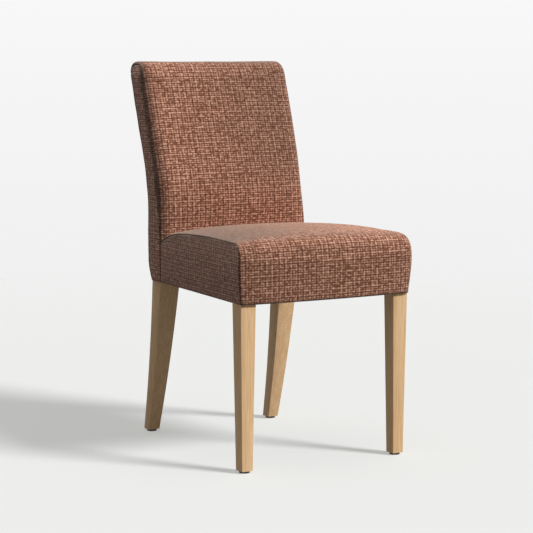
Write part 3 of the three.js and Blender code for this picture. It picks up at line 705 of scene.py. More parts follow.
@dataclass
class Casing:
    """The sewn cover of one cushion, from panels whose shared borders have the same points."""

    name: str
    panels: Sequence[Panel]
    padding: Padding
    seam: Seam

    def sew(self) -> Piece:
        """Sews the panels together.

        Returns:
            The casing as one welded skin, with each face marked with its panel.
        """
        whole = bmesh.new()
        for index, panel in enumerate(self.panels):
            bm = grid_piece(panel.points + np.array([0, ORIGIN_SHIFT, 0]), panel.flat)
            face_outwards(bm, panel.outward)
            mark = bm.faces.layers.int.new("panel")
            for face in bm.faces:
                face[mark] = index
            part = bpy.data.meshes.new(panel.name)
            bm.to_mesh(part)
            bm.free()
            whole.from_mesh(part)
            bpy.data.meshes.remove(part)
        bmesh.ops.remove_doubles(whole, verts=whole.verts, dist=WELD)
        return link(self.name, whole)

    def pins(self, piece: Piece) -> list[int]:
        """Finds the vertices on seams and on free borders, which the filling doesn't move.

        Args:
            piece: the casing.

        Returns:
            Their numbers in order.
        """
        bm = bmesh.new()
        bm.from_mesh(piece.data)
        mark = bm.faces.layers.int["panel"]
        held = set()
        for edge in bm.edges:
            panels = {face[mark] for face in edge.link_faces}
            if len(edge.link_faces) < 2 or len(panels) > 1:
                held.update(vertex.index for vertex in edge.verts)
        bm.free()
        return sorted(held)

    def fill(self, piece: Piece) -> None:
        """Fills the casing by a short cloth simulation, and keeps its result in the mesh.

        Args:
            piece: the casing, which keeps only the movement outwards.
        """
        group = piece.vertex_groups.new(name="held")
        group.add(self.pins(piece), 1.0, "REPLACE")
        cloth = piece.modifiers.new("filling", "CLOTH")
        cloth.settings.use_pressure = True
        cloth.settings.uniform_pressure_force = self.padding.pressure
        cloth.settings.mass = self.padding.mass
        cloth.settings.tension_stiffness = self.padding.tension
        cloth.settings.compression_stiffness = self.padding.tension
        cloth.settings.bending_stiffness = self.padding.bending
        cloth.settings.vertex_group_mass = group.name
        cloth.settings.effector_weights.gravity = 0
        cloth.point_cache.frame_start = 1
        cloth.point_cache.frame_end = self.padding.frames
        for number in range(1, self.padding.frames + 1):
            bpy.context.scene.frame_set(number)
        graph = bpy.context.evaluated_depsgraph_get()
        filled = piece.evaluated_get(graph).to_mesh()
        after = np.zeros(len(filled.vertices) * 3)
        filled.vertices.foreach_get("co", after)
        before = np.zeros(len(piece.data.vertices) * 3)
        piece.data.vertices.foreach_get("co", before)
        piece.evaluated_get(graph).to_mesh_clear()
        piece.modifiers.remove(cloth)
        piece.vertex_groups.clear()
        normals = np.zeros(len(before))
        piece.data.vertex_normals.foreach_get("vector", normals)
        normals = normals.reshape(-1, 3)
        moved = (after - before).reshape(-1, 3)
        length = np.maximum((moved * normals).sum(axis=1, keepdims=True), 0.0)
        eased = self.padding.cap * np.tanh(length / self.padding.cap)
        piece.data.vertices.foreach_set("co", before + (normals * eased).ravel())
        piece.data.update()
        bpy.context.scene.frame_set(1)
        log.info("%s filled by %.1f mm at most", self.name, 1000 * float(length.max()))

    def soften(self, piece: Piece) -> None:
        """Lets the filling show through as a very low, slow unevenness between the seams.

        Args:
            piece: the casing.
        """
        held = set(self.pins(piece))
        padding = self.padding
        offset = Vector((padding.seed, 0, 0))
        for vertex in piece.data.vertices:
            if vertex.index in held:
                continue
            place = vertex.co / padding.ripple_size
            amount = noise.noise(place + offset)
            amount += padding.detail * noise.noise(place * padding.detail_scale - offset)
            vertex.co += vertex.normal * amount * padding.ripple

    def part(self, piece: Piece) -> list[Piece]:
        """Parts the casing at its seams.

        Args:
            piece: the filled casing, which is used up.

        Returns:
            One skin per panel, whose borders turn into their seams.
        """
        parts = []
        for index, panel in enumerate(self.panels):
            bm = bmesh.new()
            bm.from_mesh(piece.data)
            mark = bm.faces.layers.int["panel"]
            source = bm.verts.layers.int.new("source")
            normals, sewn = {}, set()
            for vertex in bm.verts:
                vertex[source] = vertex.index
                normals[vertex.index] = vertex.normal.copy()
                if len({face[mark] for face in vertex.link_faces}) > 1:
                    sewn.add(vertex.index)
            others = [face for face in bm.faces if face[mark] != index]
            bmesh.ops.delete(bm, geom=others, context="FACES")
            self.turn_in(bm, source, normals, sewn)
            parts.append(link(panel.name, bm))
        bpy.data.objects.remove(piece)
        return parts

    def inward(self, vertex: bmesh.types.BMVert) -> Vector:
        """Finds the direction in a panel's surface that leads away from its border.

        Args:
            vertex: a vertex on the border.

        Returns:
            The unit direction.
        """
        ends = [edge.other_vert(vertex).co for edge in vertex.link_edges if edge.is_boundary]
        along = (ends[1] - ends[0]).normalized()
        away = vertex.normal.cross(along).normalized()
        middle = sum((face.calc_center_median() for face in vertex.link_faces), Vector())
        middle /= len(vertex.link_faces)
        return away if away.dot(middle - vertex.co) > 0 else -away

    def turn_in(
        self,
        bm: Shape,
        source: bmesh.types.BMLayerItem,
        normals: dict[int, Vector],
        sewn: set[int],
    ) -> None:
        """Draws a panel's border back, then adds its lip, the stitched edge and the turned allowance.

        Args:
            bm: the panel.
            source: the layer that holds each vertex's number in the casing.
            normals: the casing's normals, by that number.
            sewn: the numbers of the casing's vertices that lie on a seam.
        """
        bm.normal_update()
        # Each vertex's distance to the border, which the cloth's painted seam shade reads.
        apart = bm.verts.layers.float.new("from_seam")
        border = [vertex for vertex in bm.verts if vertex.is_boundary]
        tree = KDTree(len(border))
        for index, vertex in enumerate(border):
            tree.insert(vertex.co, index)
        tree.balance()
        for vertex in bm.verts:
            vertex[apart] = tree.find(vertex.co)[2]
        places = {vertex[source]: vertex.co.copy() for vertex in border}
        inward = {vertex[source]: self.inward(vertex) for vertex in border}
        for vertex in border:
            vertex.co += inward[vertex[source]] * self.seam.border
        rows = (
            (self.seam.lip, 0.0, 0.0),
            (0.0, self.seam.tuck, self.seam.hem),
            (0.0, self.seam.tuck + self.seam.allowance, self.seam.hem + self.seam.hem_turn),
        )
        for lip, seam_depth, hem_depth in rows:
            edges = [edge for edge in bm.edges if edge.is_boundary]
            made = bmesh.ops.extrude_edge_only(bm, edges=edges)
            for vertex in made["geom"]:
                if not isinstance(vertex, bmesh.types.BMVert):
                    continue
                number = vertex[source]
                depth = seam_depth if number in sewn else hem_depth
                if depth:
                    depth += self.seam.pucker * noise.noise(places[number] / self.seam.pucker_size)
                vertex.co = places[number] + inward[number] * lip - normals[number] * depth


# Cover panels


@dataclass
class SeatUpholstery:
    """The seat's cover of three panels."""

    form: SeatForm = field(default_factory=SeatForm)
    padding: Padding = field(default_factory=Padding)
    seam: Seam = field(default_factory=Seam)
    thickness: float = 0.0014

    def top_panel(self) -> Panel:
        """Cuts the panel that runs up the front and back over the top.

        Returns:
            The panel.
        """
        form = self.form
        strip = Strip(form.stations(), form.half_width, form.across_steps, right_scale=form.right_scale)
        points = strip.lay()
        for i in range(form.straight_steps):
            share = (1 - i / form.straight_steps) ** 2
            across = points[i, :, 0] / form.front_half
            points[i, :, 2] -= share * form.front_sag * np.cos(across * math.pi / 2)
        outward = Vector((0, -1, 1))
        return Panel("seat_top_cloth", points, strip.flat(points), outward, ("seat_top_cover",))

    def side_panel(self, side: int, top: Panel) -> Panel:
        """Returns one side panel, cut to the top panel's edge.

        Args:
            side: -1 for left and 1 for right.
            top: the top panel.

        Returns:
            The side panel.
        """
        seam = top.points[:, 0 if side < 0 else -1]
        corner = self.form.straight_steps + self.form.corner_steps // 2
        start = seam[: corner + 1]
        upper = seam[corner:]
        lengths = np.linalg.norm(np.diff(upper, axis=0), axis=1)
        share = np.concatenate([[0], np.cumsum(lengths)]) / lengths.sum()
        along = [blend(start[0][1], upper[-1][1], s) for s in share]
        lower = np.array([[0, y, self.form.hem(y)] for y in along])
        lower[0] = start[0]
        rear_rise = np.linspace(0, 1, len(start))
        end = np.array([[0, upper[-1][1], blend(lower[-1][2], upper[-1][2], s)] for s in rear_rise])
        for row in (lower[1:], end[:-1]):
            for place in row:
                place[0] = side * self.form.half_width(side, place[1], place[2])
        end[-1] = upper[-1]
        points = fill_between({"bottom": lower, "top": upper, "start": start, "end": end})
        inner = points[1:-1, 1:-1]
        for place in inner.reshape(-1, 3):
            place[0] = side * self.form.half_width(side, place[1], place[2])
        points[1:-1, 1:-1] = inner
        name = "left" if side < 0 else "right"
        nodes = (f"seat_side_cover_{name}",)
        return Panel(f"seat_side_cloth_{name}", points, points[:, :, 1:], Vector((side, 0, 0)), nodes)

    def build(self, cloths: dict[str, Finish]) -> BVHTree:
        """Sews, fills and dresses the seat's cover.

        Args:
            cloths: the cloth of each panel, by the panel's name.

        Returns:
            The casing's skin, for what lies inside it.
        """
        top = self.top_panel()
        panels = [top] + [self.side_panel(side, top) for side in SIDES.values()]
        return make_cover(Casing("seat_casing", panels, self.padding, self.seam), cloths, self.thickness)


@dataclass
class BackUpholstery:
    """The back's cover of four panels."""

    form: BackForm = field(default_factory=BackForm)
    padding: Padding = field(default_factory=lambda: Padding(seed=9.1))
    seam: Seam = field(default_factory=Seam)
    thickness: float = 0.0014

    def front_panel(self) -> Panel:
        """Cuts the panel that runs up the face and over the top.

        Returns:
            The panel.
        """
        form = self.form
        stations = form.front_stations()
        strip = Strip(stations, form.half_width, roll_steps=form.roll_steps, right_scale=form.right_scale)
        points = form.level_top(strip.lay())
        outward = Vector((0, -1, 0))
        return Panel("back_front_cloth", points, strip.flat(points), outward, ("back_front_cover",))

    def outside_panel(self, front: Panel) -> Panel:
        """Cuts the outside back, which ends on the front panel's last row.

        Args:
            front: the front panel.

        Returns:
            The outside back.
        """
        form = self.form
        strip = Strip(form.rear_stations(), form.half_width, roll_steps=form.roll_steps)
        points = form.level_top(strip.lay())
        points[-1] = front.points[-1]
        outward = Vector((0, 1, 0))
        return Panel("back_outside_cloth", points, strip.flat(points), outward, ("back_outside_cover",))

    def side_panel(self, side: int, front: Panel, outside: Panel) -> Panel:
        """Returns one side panel, cut to the edges of the front panel and the outside back.

        Args:
            side: -1 for left and 1 for right.
            front: the front panel.
            outside: the outside back.

        Returns:
            The side panel.
        """
        form = self.form
        column = 0 if side < 0 else -1
        seam = front.points[:, column]
        half = form.corner_steps // 2
        first = form.face_steps + half
        last = first + form.side_steps + form.corner_steps
        face, top, rear_corner = seam[: first + 1], seam[first : last + 1], seam[last:][::-1]
        low_z = np.linspace(form.bottom, form.face_start, form.low_steps + 1)[:-1]
        low = np.array([[side * form.half, form.side_gap, z] for z in low_z])
        start = np.concatenate([low, face])
        outside_edge = outside.points[:, column]
        end = np.concatenate([outside_edge[:-1], rear_corner])
        share = np.linspace(0, 1, len(top))[:, None]
        bottom = start[0] * (1 - share) + end[0] * share
        points = fill_between({"bottom": bottom, "top": top, "start": start, "end": end})
        rows, columns = points.shape[:2]
        for i in range(1, rows - 1):
            drawn = form.half_width(side, points[i, 0, 1], points[i, 0, 2]) - abs(points[i, 0, 0])
            for j in range(1, columns - 1):
                u, v = j / (columns - 1), i / (rows - 1)
                bulge = 4 * form.side_bulge * u * (1 - u) * math.sin(math.pi * v)
                valley = drawn * clamp(1 - u / form.valley_share) ** 2
                half = form.half_width(side, points[i, j, 1], points[i, j, 2])
                points[i, j, 0] = side * (half + bulge - valley)
        name = "left" if side < 0 else "right"
        nodes = (f"back_side_cover_{name}",)
        return Panel(f"back_side_cloth_{name}", points, points[:, :, 1:], Vector((side, 0, 0)), nodes)

    def build(self, cloths: dict[str, Finish]) -> BVHTree:
        """Sews, fills and dresses the back's cover.

        Args:
            cloths: the cloth of each panel, by the panel's name.

        Returns:
            The casing's skin, for what lies inside it.
        """
        front = self.front_panel()
        outside = self.outside_panel(front)
        sides = [self.side_panel(side, front, outside) for side in SIDES.values()]
        casing = Casing("back_casing", [front, outside, *sides], self.padding, self.seam)
        return make_cover(casing, cloths, self.thickness)


def make_cover(casing: Casing, cloths: dict[str, Finish], thickness: float) -> BVHTree:
    """Sews, fills, parts and dresses a casing.

    Args:
        casing: the casing.
        cloths: the cloth of each panel, by the panel's name.
        thickness: the cloth's thickness with its backing.

    Returns:
        The filled casing's skin, before it was parted.
    """
    whole = casing.sew()
    casing.fill(whole)
    casing.soften(whole)
    bm = bmesh.new()
    bm.from_mesh(whole.data)
    skin = BVHTree.FromBMesh(bm)
    bm.free()
    pieces = casing.part(whole)
    for piece, panel in zip(pieces, casing.panels):
        smooth(piece)
        thicken(piece, thickness)
        subdivide(piece)
        settle(piece, cloths[panel.name], panel.nodes)
    return skin


# Shader nodes


@dataclass
class Sheet:
    """Adds shader nodes to one node tree."""

    tree: bpy.types.NodeTree

    def add(self, kind: str, settings: dict | None = None, **inputs: object) -> bpy.types.Node:
        """Adds a node.

        Args:
            kind: the node's type.
            settings: its properties.
            **inputs: its inputs by name, with _ for a space, each a socket or a plain value.

        Returns:
            The new node.
        """
        node = self.tree.nodes.new(kind)
        for key, value in (settings or {}).items():
            setattr(node, key, value)
        for key, value in inputs.items():
            self.feed(node.inputs[key.replace("_", " ")], value)
        return node

    def feed(self, socket: Socket, value: object) -> None:
        """Links a socket to another, or sets its plain value.

        Args:
            socket: the input.
            value: the output that feeds it, or a plain value.
        """
        if isinstance(value, Socket):
            self.tree.links.new(value, socket)
        else:
            socket.default_value = value

    def math(self, operation: str, *values: object) -> Socket:
        """Adds a Math node.

        Args:
            operation: what it does.
            *values: its inputs in order.

        Returns:
            Its output.
        """
        node = self.tree.nodes.new("ShaderNodeMath")
        node.operation = operation
        for socket, value in zip(node.inputs, values):
            self.feed(socket, value)
        return node.outputs[0]

    def span(
        self,
        value: object,
        low: float,
        high: float,
        to_low: float = 0.0,
        to_high: float = 1.0,
        kind: str = "SMOOTHSTEP",
    ) -> Socket:
        """Carries a value from one range to another.

        Args:
            value: the value.
            low: where the first range starts.
            high: where it ends.
            to_low: where the second range starts.
            to_high: where it ends.
            kind: how it gets there.

        Returns:
            The carried value, kept inside the second range.
        """
        node = self.add("ShaderNodeMapRange", {"interpolation_type": kind}, Value=value)
        for key, number in (("From Min", low), ("From Max", high), ("To Min", to_low), ("To Max", to_high)):
            node.inputs[key].default_value = number
        return node.outputs["Result"]

    def mix(self, share: object, first: object, second: object, kind: str = "MIX") -> Socket:
        """Mixes two colours.

        Args:
            share: the share of the second.
            first: the first colour.
            second: the second colour.
            kind: how they mix.

        Returns:
            The mixed colour.
        """
        node = self.tree.nodes.new("ShaderNodeMix")
        node.data_type = "RGBA"
        node.blend_type = kind
        self.feed(node.inputs[0], share)
        self.feed(node.inputs[6], first)
        self.feed(node.inputs[7], second)
        return node.outputs[2]

    def noise(self, vector: object, detail: float = 2.0, roughness: float = 0.5) -> Socket:
        """Adds a noise of scale 1.

        Args:
            vector: the place.
            detail: how many finer layers it has.
            roughness: how strong those are.

        Returns:
            The noise value.
        """
        node = self.add("ShaderNodeTexNoise", {"noise_dimensions": "3D"}, Vector=vector)
        node.inputs["Scale"].default_value = 1.0
        node.inputs["Detail"].default_value = detail
        node.inputs["Roughness"].default_value = roughness
        return node.outputs["Fac"]

    def stretched(self, x: object, y: object, z: object) -> Socket:
        """Returns three values joined as one vector."""
        return self.add("ShaderNodeCombineXYZ", X=x, Y=y, Z=z).outputs[0]


def new_group(
    name: str, inputs: Sequence[tuple[str, str, object]], outputs: Sequence[str]
) -> tuple[Sheet, dict]:
    """Starts a shader node group.

    Args:
        name: its name.
        inputs: name, socket type and usual value of each input.
        outputs: names of its outputs, which are plain values.

    Returns:
        A sheet to add its nodes with, and its input and output nodes as a dict.
    """
    group = bpy.data.node_groups.new(name, "ShaderNodeTree")
    for title, kind, value in inputs:
        socket = group.interface.new_socket(title, in_out="INPUT", socket_type=kind)
        if value is not None:
            socket.default_value = value
    for title in outputs:
        group.interface.new_socket(title, in_out="OUTPUT", socket_type="NodeSocketFloat")
    sheet = Sheet(group)
    ends = {"in": sheet.add("NodeGroupInput"), "out": sheet.add("NodeGroupOutput")}
    return sheet, ends


def put_out(sheet: Sheet, ends: dict, **values: Socket) -> bpy.types.NodeTree:
    """Feeds a group's outputs by name.

    Args:
        sheet: the group's sheet.
        ends: its input and output nodes.
        **values: the outputs' values.

    Returns:
        The group.
    """
    for title, value in values.items():
        sheet.feed(ends["out"].inputs[title], value)
    return sheet.tree


def yarn_group() -> bpy.types.NodeTree:
    """A plain weave of uneven yarn in a flat cloth's own coordinates, in metres.

    Returns:
        The group: it puts out the tone of the fine yarn, the tone of the thick yarn, slow clouds and
        the weave's height.
    """
    floats = "NodeSocketFloat"
    sheet, ends = new_group(
        "yarn_weave",
        [
            ("Cloth", "NodeSocketVector", None),
            ("Fine Pitch", floats, 0.0023),
            ("Fine Length", floats, 0.009),
            ("Slub Pitch", floats, 0.0043),
            ("Slub Length", floats, 0.011),
        ],
        ["Fine", "Slubs", "Clouds", "Height"],
    )
    source = ends["in"].outputs
    place = sheet.add("ShaderNodeSeparateXYZ", Vector=source["Cloth"])
    u, v = place.outputs["X"], place.outputs["Y"]
    wander_size, wander_depth, cloud_size = 0.015, 0.0012, 0.060
    apart, weft_apart, clouds_apart = 7.31, 40.0, 31.0
    alternate, stray, tone_detail, tone_spread = 0.34, 0.40, 0.55, (0.25, 0.75)
    warp_pitch, warp_length, warp_share, turn_reach = 1.27, 0.7, 0.55, 0.3
    fine_hide, slub_hide, slub_swell = 0.3, 0.2, (0.45, 0.75)

    def drift(seed: float) -> Socket:
        """Lets the yarns stray sideways.

        Args:
            seed: tells one set of yarns from another.

        Returns:
            How far they have strayed at a place.
        """
        x, y = sheet.math("DIVIDE", u, wander_size), sheet.math("DIVIDE", v, wander_size)
        sideways = sheet.math("SUBTRACT", sheet.noise(sheet.stretched(x, y, seed), detail=1.0), 0.5)
        return sheet.math("MULTIPLY", sideways, wander_depth)

    across = sheet.math("ADD", u, drift(seed=2.4))
    along = sheet.math("ADD", v, drift(seed=5.9))

    def yarns(side: object, run: object, pitch: object, length: object, seed: float) -> Socket:
        """Gives each yarn a tone, which changes slowly along it.

        Args:
            side: the coordinate across the yarns.
            run: the coordinate along them.
            pitch: their pitch.
            length: how far a tone lasts.
            seed: tells one set of yarns from another.

        Returns:
            The tone, from 0 to 1.
        """
        number = sheet.math("FLOOR", sheet.math("DIVIDE", side, pitch))
        jump = sheet.math("MULTIPLY", number, apart)
        place = sheet.stretched(jump, sheet.math("DIVIDE", run, length), seed)
        strong = sheet.span(sheet.noise(place, detail=2.0, roughness=tone_detail), *tone_spread)
        odd = sheet.math("FLOORED_MODULO", number, 2.0)
        turned = sheet.math("MULTIPLY", strong, sheet.math("MULTIPLY_ADD", odd, 2 * alternate, -alternate))
        free = sheet.math("MULTIPLY_ADD", strong, stray, 0.5 - stray / 2)
        return sheet.math("ADD", turned, free)

    def woven(pitch: object, length: object, hide: float, seed: float) -> tuple:
        """Weaves one set of yarns.

        Args:
            pitch: their pitch.
            length: how far a tone lasts.
            hide: how far the upper yarn hides the lower, from 0 to 1.
            seed: tells one set from another.

        Returns:
            The tone at a place and the weave's height there, as two sockets.
        """
        wide = sheet.math("MULTIPLY", pitch, warp_pitch)
        warp = yarns(across, along, wide, sheet.math("MULTIPLY", length, warp_length), seed)
        weft = yarns(along, across, pitch, length, seed + weft_apart)
        turn_u = sheet.math("SINE", sheet.math("MULTIPLY", sheet.math("DIVIDE", across, wide), math.pi))
        turn_v = sheet.math("SINE", sheet.math("MULTIPLY", sheet.math("DIVIDE", along, pitch), math.pi))
        turn = sheet.math("MULTIPLY", turn_u, turn_v)
        over = sheet.span(turn, -turn_reach, turn_reach, warp_share - hide / 2, warp_share + hide / 2)
        lower = sheet.math("MULTIPLY", weft, sheet.math("SUBTRACT", 1.0, over))
        tone = sheet.math("ADD", sheet.math("MULTIPLY", warp, over), lower)
        high = sheet.math("MAXIMUM", sheet.math("ABSOLUTE", turn_u), sheet.math("ABSOLUTE", turn_v))
        return tone, high

    fine, fine_high = woven(source["Fine Pitch"], source["Fine Length"], fine_hide, seed=3.1)
    slubs, slub_high = woven(source["Slub Pitch"], source["Slub Length"], slub_hide, seed=14.2)
    x, y = sheet.math("DIVIDE", u, cloud_size), sheet.math("DIVIDE", v, cloud_size)
    clouds = sheet.noise(sheet.stretched(x, y, clouds_apart))
    swell = sheet.math("MULTIPLY", slub_high, sheet.span(slubs, *slub_swell))
    height = sheet.math("ADD", sheet.math("MULTIPLY", fine_high, 0.5), sheet.math("MULTIPLY", swell, 0.5))
    return put_out(sheet, ends, Fine=fine, Slubs=slubs, Clouds=clouds, Height=height)


def grain_group() -> bpy.types.NodeTree:
    """Straight wood grain that runs along the third coordinate.

    Returns:
        The group: it puts out growth bands, fine grain, pores and the surface's height.
    """
    floats = "NodeSocketFloat"
    sheet, ends = new_group(
        "wood_grain",
        [
            ("Place", "NodeSocketVector", None),
            ("Band Width", floats, 0.006),
            ("Band Length", floats, 0.35),
            ("Pore Length", floats, 0.010),
        ],
        ["Bands", "Grain", "Pores", "Height"],
    )
    source = ends["in"].outputs
    place = sheet.add("ShaderNodeSeparateXYZ", Vector=source["Place"])
    x, y, z = (place.outputs[key] for key in "XYZ")
    grain_width, grain_length, pore_width, drawn_detail = 0.0011, 0.09, 0.0006, 0.55
    band_edges, pore_edges, pore_depth = (0.3, 0.7), (0.62, 0.72), 0.65

    def drawn(width: object, length: object, seed: float, detail: float) -> Socket:
        """Draws a noise out along the grain.

        Args:
            width: the streak's width.
            length: the streak's length.
            seed: tells one set of streaks from another.
            detail: the noise's detail.

        Returns:
            The noise value.
        """
        across = sheet.math("DIVIDE", sheet.math("ADD", x, seed), width)
        deep = sheet.math("DIVIDE", y, width)
        along = sheet.math("DIVIDE", z, length)
        return sheet.noise(sheet.stretched(across, deep, along), detail, drawn_detail)

    bands = drawn(source["Band Width"], source["Band Length"], seed=0.31, detail=3.0)
    bands = sheet.span(bands, *band_edges)
    grain = drawn(grain_width, grain_length, seed=0.77, detail=3.0)
    pores = sheet.span(drawn(pore_width, source["Pore Length"], seed=1.13, detail=1.0), *pore_edges)
    sunk = sheet.math("MULTIPLY", pores, pore_depth)
    height = sheet.math("SUBTRACT", sheet.math("MULTIPLY", grain, 1 - pore_depth), sunk)
    return put_out(sheet, ends, Bands=bands, Grain=grain, Pores=pores, Height=height)


def mottle_group() -> bpy.types.NodeTree:
    """A soft cloudy unevenness in object coordinates, for dust, handling and moulding.

    Returns:
        The group: it puts out clouds, specks and a fine height.
    """
    sheet, ends = new_group(
        "mottle",
        [
            ("Place", "NodeSocketVector", None),
            ("Cloud Size", "NodeSocketFloat", 0.05),
            ("Speck Size", "NodeSocketFloat", 0.002),
        ],
        ["Clouds", "Specks", "Height"],
    )
    source = ends["in"].outputs
    fine_detail, speck_edges = 0.55, (0.6, 0.75)

    def scaled(size: Socket, detail: float) -> Socket:
        """Adds a noise of a given size.

        Args:
            size: the size of its features.
            detail: how many finer layers it has.

        Returns:
            The noise value.
        """
        scale = sheet.math("DIVIDE", 1.0, size)
        shrink = {"operation": "SCALE"}
        place = sheet.add("ShaderNodeVectorMath", shrink, Vector=source["Place"], Scale=scale)
        return sheet.noise(place.outputs[0], detail, fine_detail)

    clouds = scaled(source["Cloud Size"], detail=3.0)
    fine = scaled(source["Speck Size"], detail=2.0)
    specks = sheet.span(fine, *speck_edges)
    return put_out(sheet, ends, Clouds=clouds, Specks=specks, Height=fine)


def tint(red: int, green: int, blue: int) -> tuple[float, float, float, float]:
    """Returns a display colour of three 0 to 255 values as a scene-linear colour."""
    shown = Color((red / 255, green / 255, blue / 255))
    return (*shown.from_srgb_to_scene_linear(), 1.0)


def new_material(name: str) -> tuple[Finish, Sheet, bpy.types.Node]:
    """Starts a material.

    Args:
        name: its name.

    Returns:
        The material, a sheet to add nodes with, and its Principled BSDF.
    """
    material = bpy.data.materials.new(name)
    material.use_nodes = True
    tree = material.node_tree
    tree.nodes.clear()
    sheet = Sheet(tree)
    shader = sheet.add("ShaderNodeBsdfPrincipled")
    output = sheet.add("ShaderNodeOutputMaterial")
    tree.links.new(shader.outputs[0], output.inputs["Surface"])
    return material, sheet, shader


def use_group(sheet: Sheet, name: str, **inputs: object) -> bpy.types.Node:
    """Places a node group in a material.

    Args:
        sheet: the material's sheet.
        name: the group's name.
        **inputs: its inputs by name, with _ for a space.

    Returns:
        The group's node.
    """
    group = sheet.add("ShaderNodeGroup", {"node_tree": bpy.data.node_groups[name]})
    for key, value in inputs.items():
        sheet.feed(group.inputs[key.replace("_", " ")], value)
    return group


def add_bump(
    sheet: Sheet, shader: bpy.types.Node, height: object, strength: float, distance: float
) -> None:
    """Feeds a height to the shader's normal.

    Args:
        sheet: the material's sheet.
        shader: its Principled BSDF.
        height: the height.
        strength: how strongly it shows.
        distance: how deep it stands for.
    """
    bump = sheet.add("ShaderNodeBump", None, Height=height)
    bump.inputs["Strength"].default_value = strength
    bump.inputs["Distance"].default_value = distance
    sheet.feed(shader.inputs["Normal"], bump.outputs[0])


@dataclass(frozen=True)
class Cloth:
    """A cloth woven from uneven yarn, with a deep, a usual and a pale tone, and painted light and shade
    laid over its colour.
    """

    name: str
    ground: tuple[int, int, int]
    deep: tuple[int, int, int]
    pale: tuple[int, int, int]
    fine_pitch: float = 0.0027
    fine_length: float = 0.008
    slub_pitch: float = 0.0047
    slub_length: float = 0.011
    fine_share: float = 0.62
    cloud_share: float = 0.015
    contrast: float = 0.198
    # These fields paint light and shade into the colour: a level, a slope across, a rise along, a dark seam
    # line and bands at the side edges.
    painted_light_gain: float = 1.0
    painted_light_across: tuple[float, float] = (0.0, 0.0)
    painted_light_rise: float = 0.0
    painted_light_range: tuple[float, float] = (0.0, 1.0)
    painted_seam_shade: float = 1.0
    painted_seam_width: float = 0.006
    painted_left_band: tuple[float, float] = (-0.208, -0.160)
    painted_right_band: tuple[float, float] = (0.150, 0.195)
    painted_band_levels: tuple[float, float] = (1.0, 1.0)
    roughness: float = 0.95
    specular: float = 0.1
    sheen: float = 0.0
    sheen_roughness: float = 0.5
    sheen_tint: tuple[int, int, int] = (245, 226, 211)
    bump: float = 0.5
    depth: float = 0.0006

    def painted_light(self, sheet: Sheet, cloth: Socket) -> Socket:
        """Paints light and shade into a panel's colour: lighter or darker across and along it, painted
        shade along its seams, and painted bands of shade and light at its side edges.

        Args:
            sheet: the material's sheet.
            cloth: the place on the flat cloth.

        Returns:
            A grey that the cloth's colour is multiplied by.
        """
        place = sheet.add("ShaderNodeSeparateXYZ", Vector=cloth).outputs
        # Painted light: a level, a slope across the panel and a rise along it.
        across = sheet.span(place["Y"], *self.painted_light_range, *self.painted_light_across)
        along = sheet.span(place["Y"], *self.painted_light_range, self.painted_light_gain, self.painted_light_gain * (1 + self.painted_light_rise))
        level = sheet.math("MULTIPLY", along, sheet.math("MULTIPLY_ADD", place["X"], across, 1.0))
        # Painted shade in the seams, a painted shadow band at the left edge and a painted highlight band at
        # the right.
        if self.painted_seam_shade < 1:
            apart = sheet.add("ShaderNodeAttribute", {"attribute_name": "from_seam"}).outputs["Fac"]
            line = sheet.span(apart, 0.0, self.painted_seam_width, self.painted_seam_shade, 1.0)
            left = sheet.span(place["X"], *self.painted_left_band, self.painted_band_levels[0], 1.0)
            right = sheet.span(place["X"], *self.painted_right_band, 1.0, self.painted_band_levels[1])
            for factor in (line, left, right):
                level = sheet.math("MULTIPLY", level, factor)
        return sheet.stretched(level, level, level)

    def make(self) -> Finish:
        """Makes the material.

        Returns:
            The material.
        """
        material, sheet, shader = new_material(self.name)
        cloth = sheet.add("ShaderNodeUVMap", {"uv_map": "cloth"}).outputs["UV"]
        weave = use_group(
            sheet,
            "yarn_weave",
            Cloth=cloth,
            Fine_Pitch=self.fine_pitch,
            Fine_Length=self.fine_length,
            Slub_Pitch=self.slub_pitch,
            Slub_Length=self.slub_length,
        )
        fine = sheet.math("MULTIPLY", weave.outputs["Fine"], self.fine_share)
        slubs = sheet.math("MULTIPLY", weave.outputs["Slubs"], 1 - self.fine_share)
        clouds = sheet.math("SUBTRACT", weave.outputs["Clouds"], 0.5)
        clouds = sheet.math("MULTIPLY", clouds, self.cloud_share)
        tone = sheet.math("ADD", sheet.math("ADD", fine, slubs), clouds)
        ground, deep, pale = tint(*self.ground), tint(*self.deep), tint(*self.pale)
        dark = sheet.span(tone, 0.5, 0.5 - self.contrast, kind="LINEAR")
        light = sheet.span(tone, 0.5, 0.5 + self.contrast, kind="LINEAR")
        base = sheet.mix(light, sheet.mix(dark, ground, deep), pale)
        # The painted light and shade multiply the woven colour.
        base = sheet.mix(1.0, base, self.painted_light(sheet, cloth), "MULTIPLY")
        sheet.feed(shader.inputs["Base Color"], base)
        constants = {
            "Roughness": self.roughness,
            "Specular IOR Level": self.specular,
            "Sheen Weight": self.sheen,
            "Sheen Roughness": self.sheen_roughness,
            "Sheen Tint": tint(*self.sheen_tint),
        }
        for title, value in constants.items():
            shader.inputs[title].default_value = value
        add_bump(sheet, shader, weave.outputs["Height"], self.bump, self.depth)
        return material


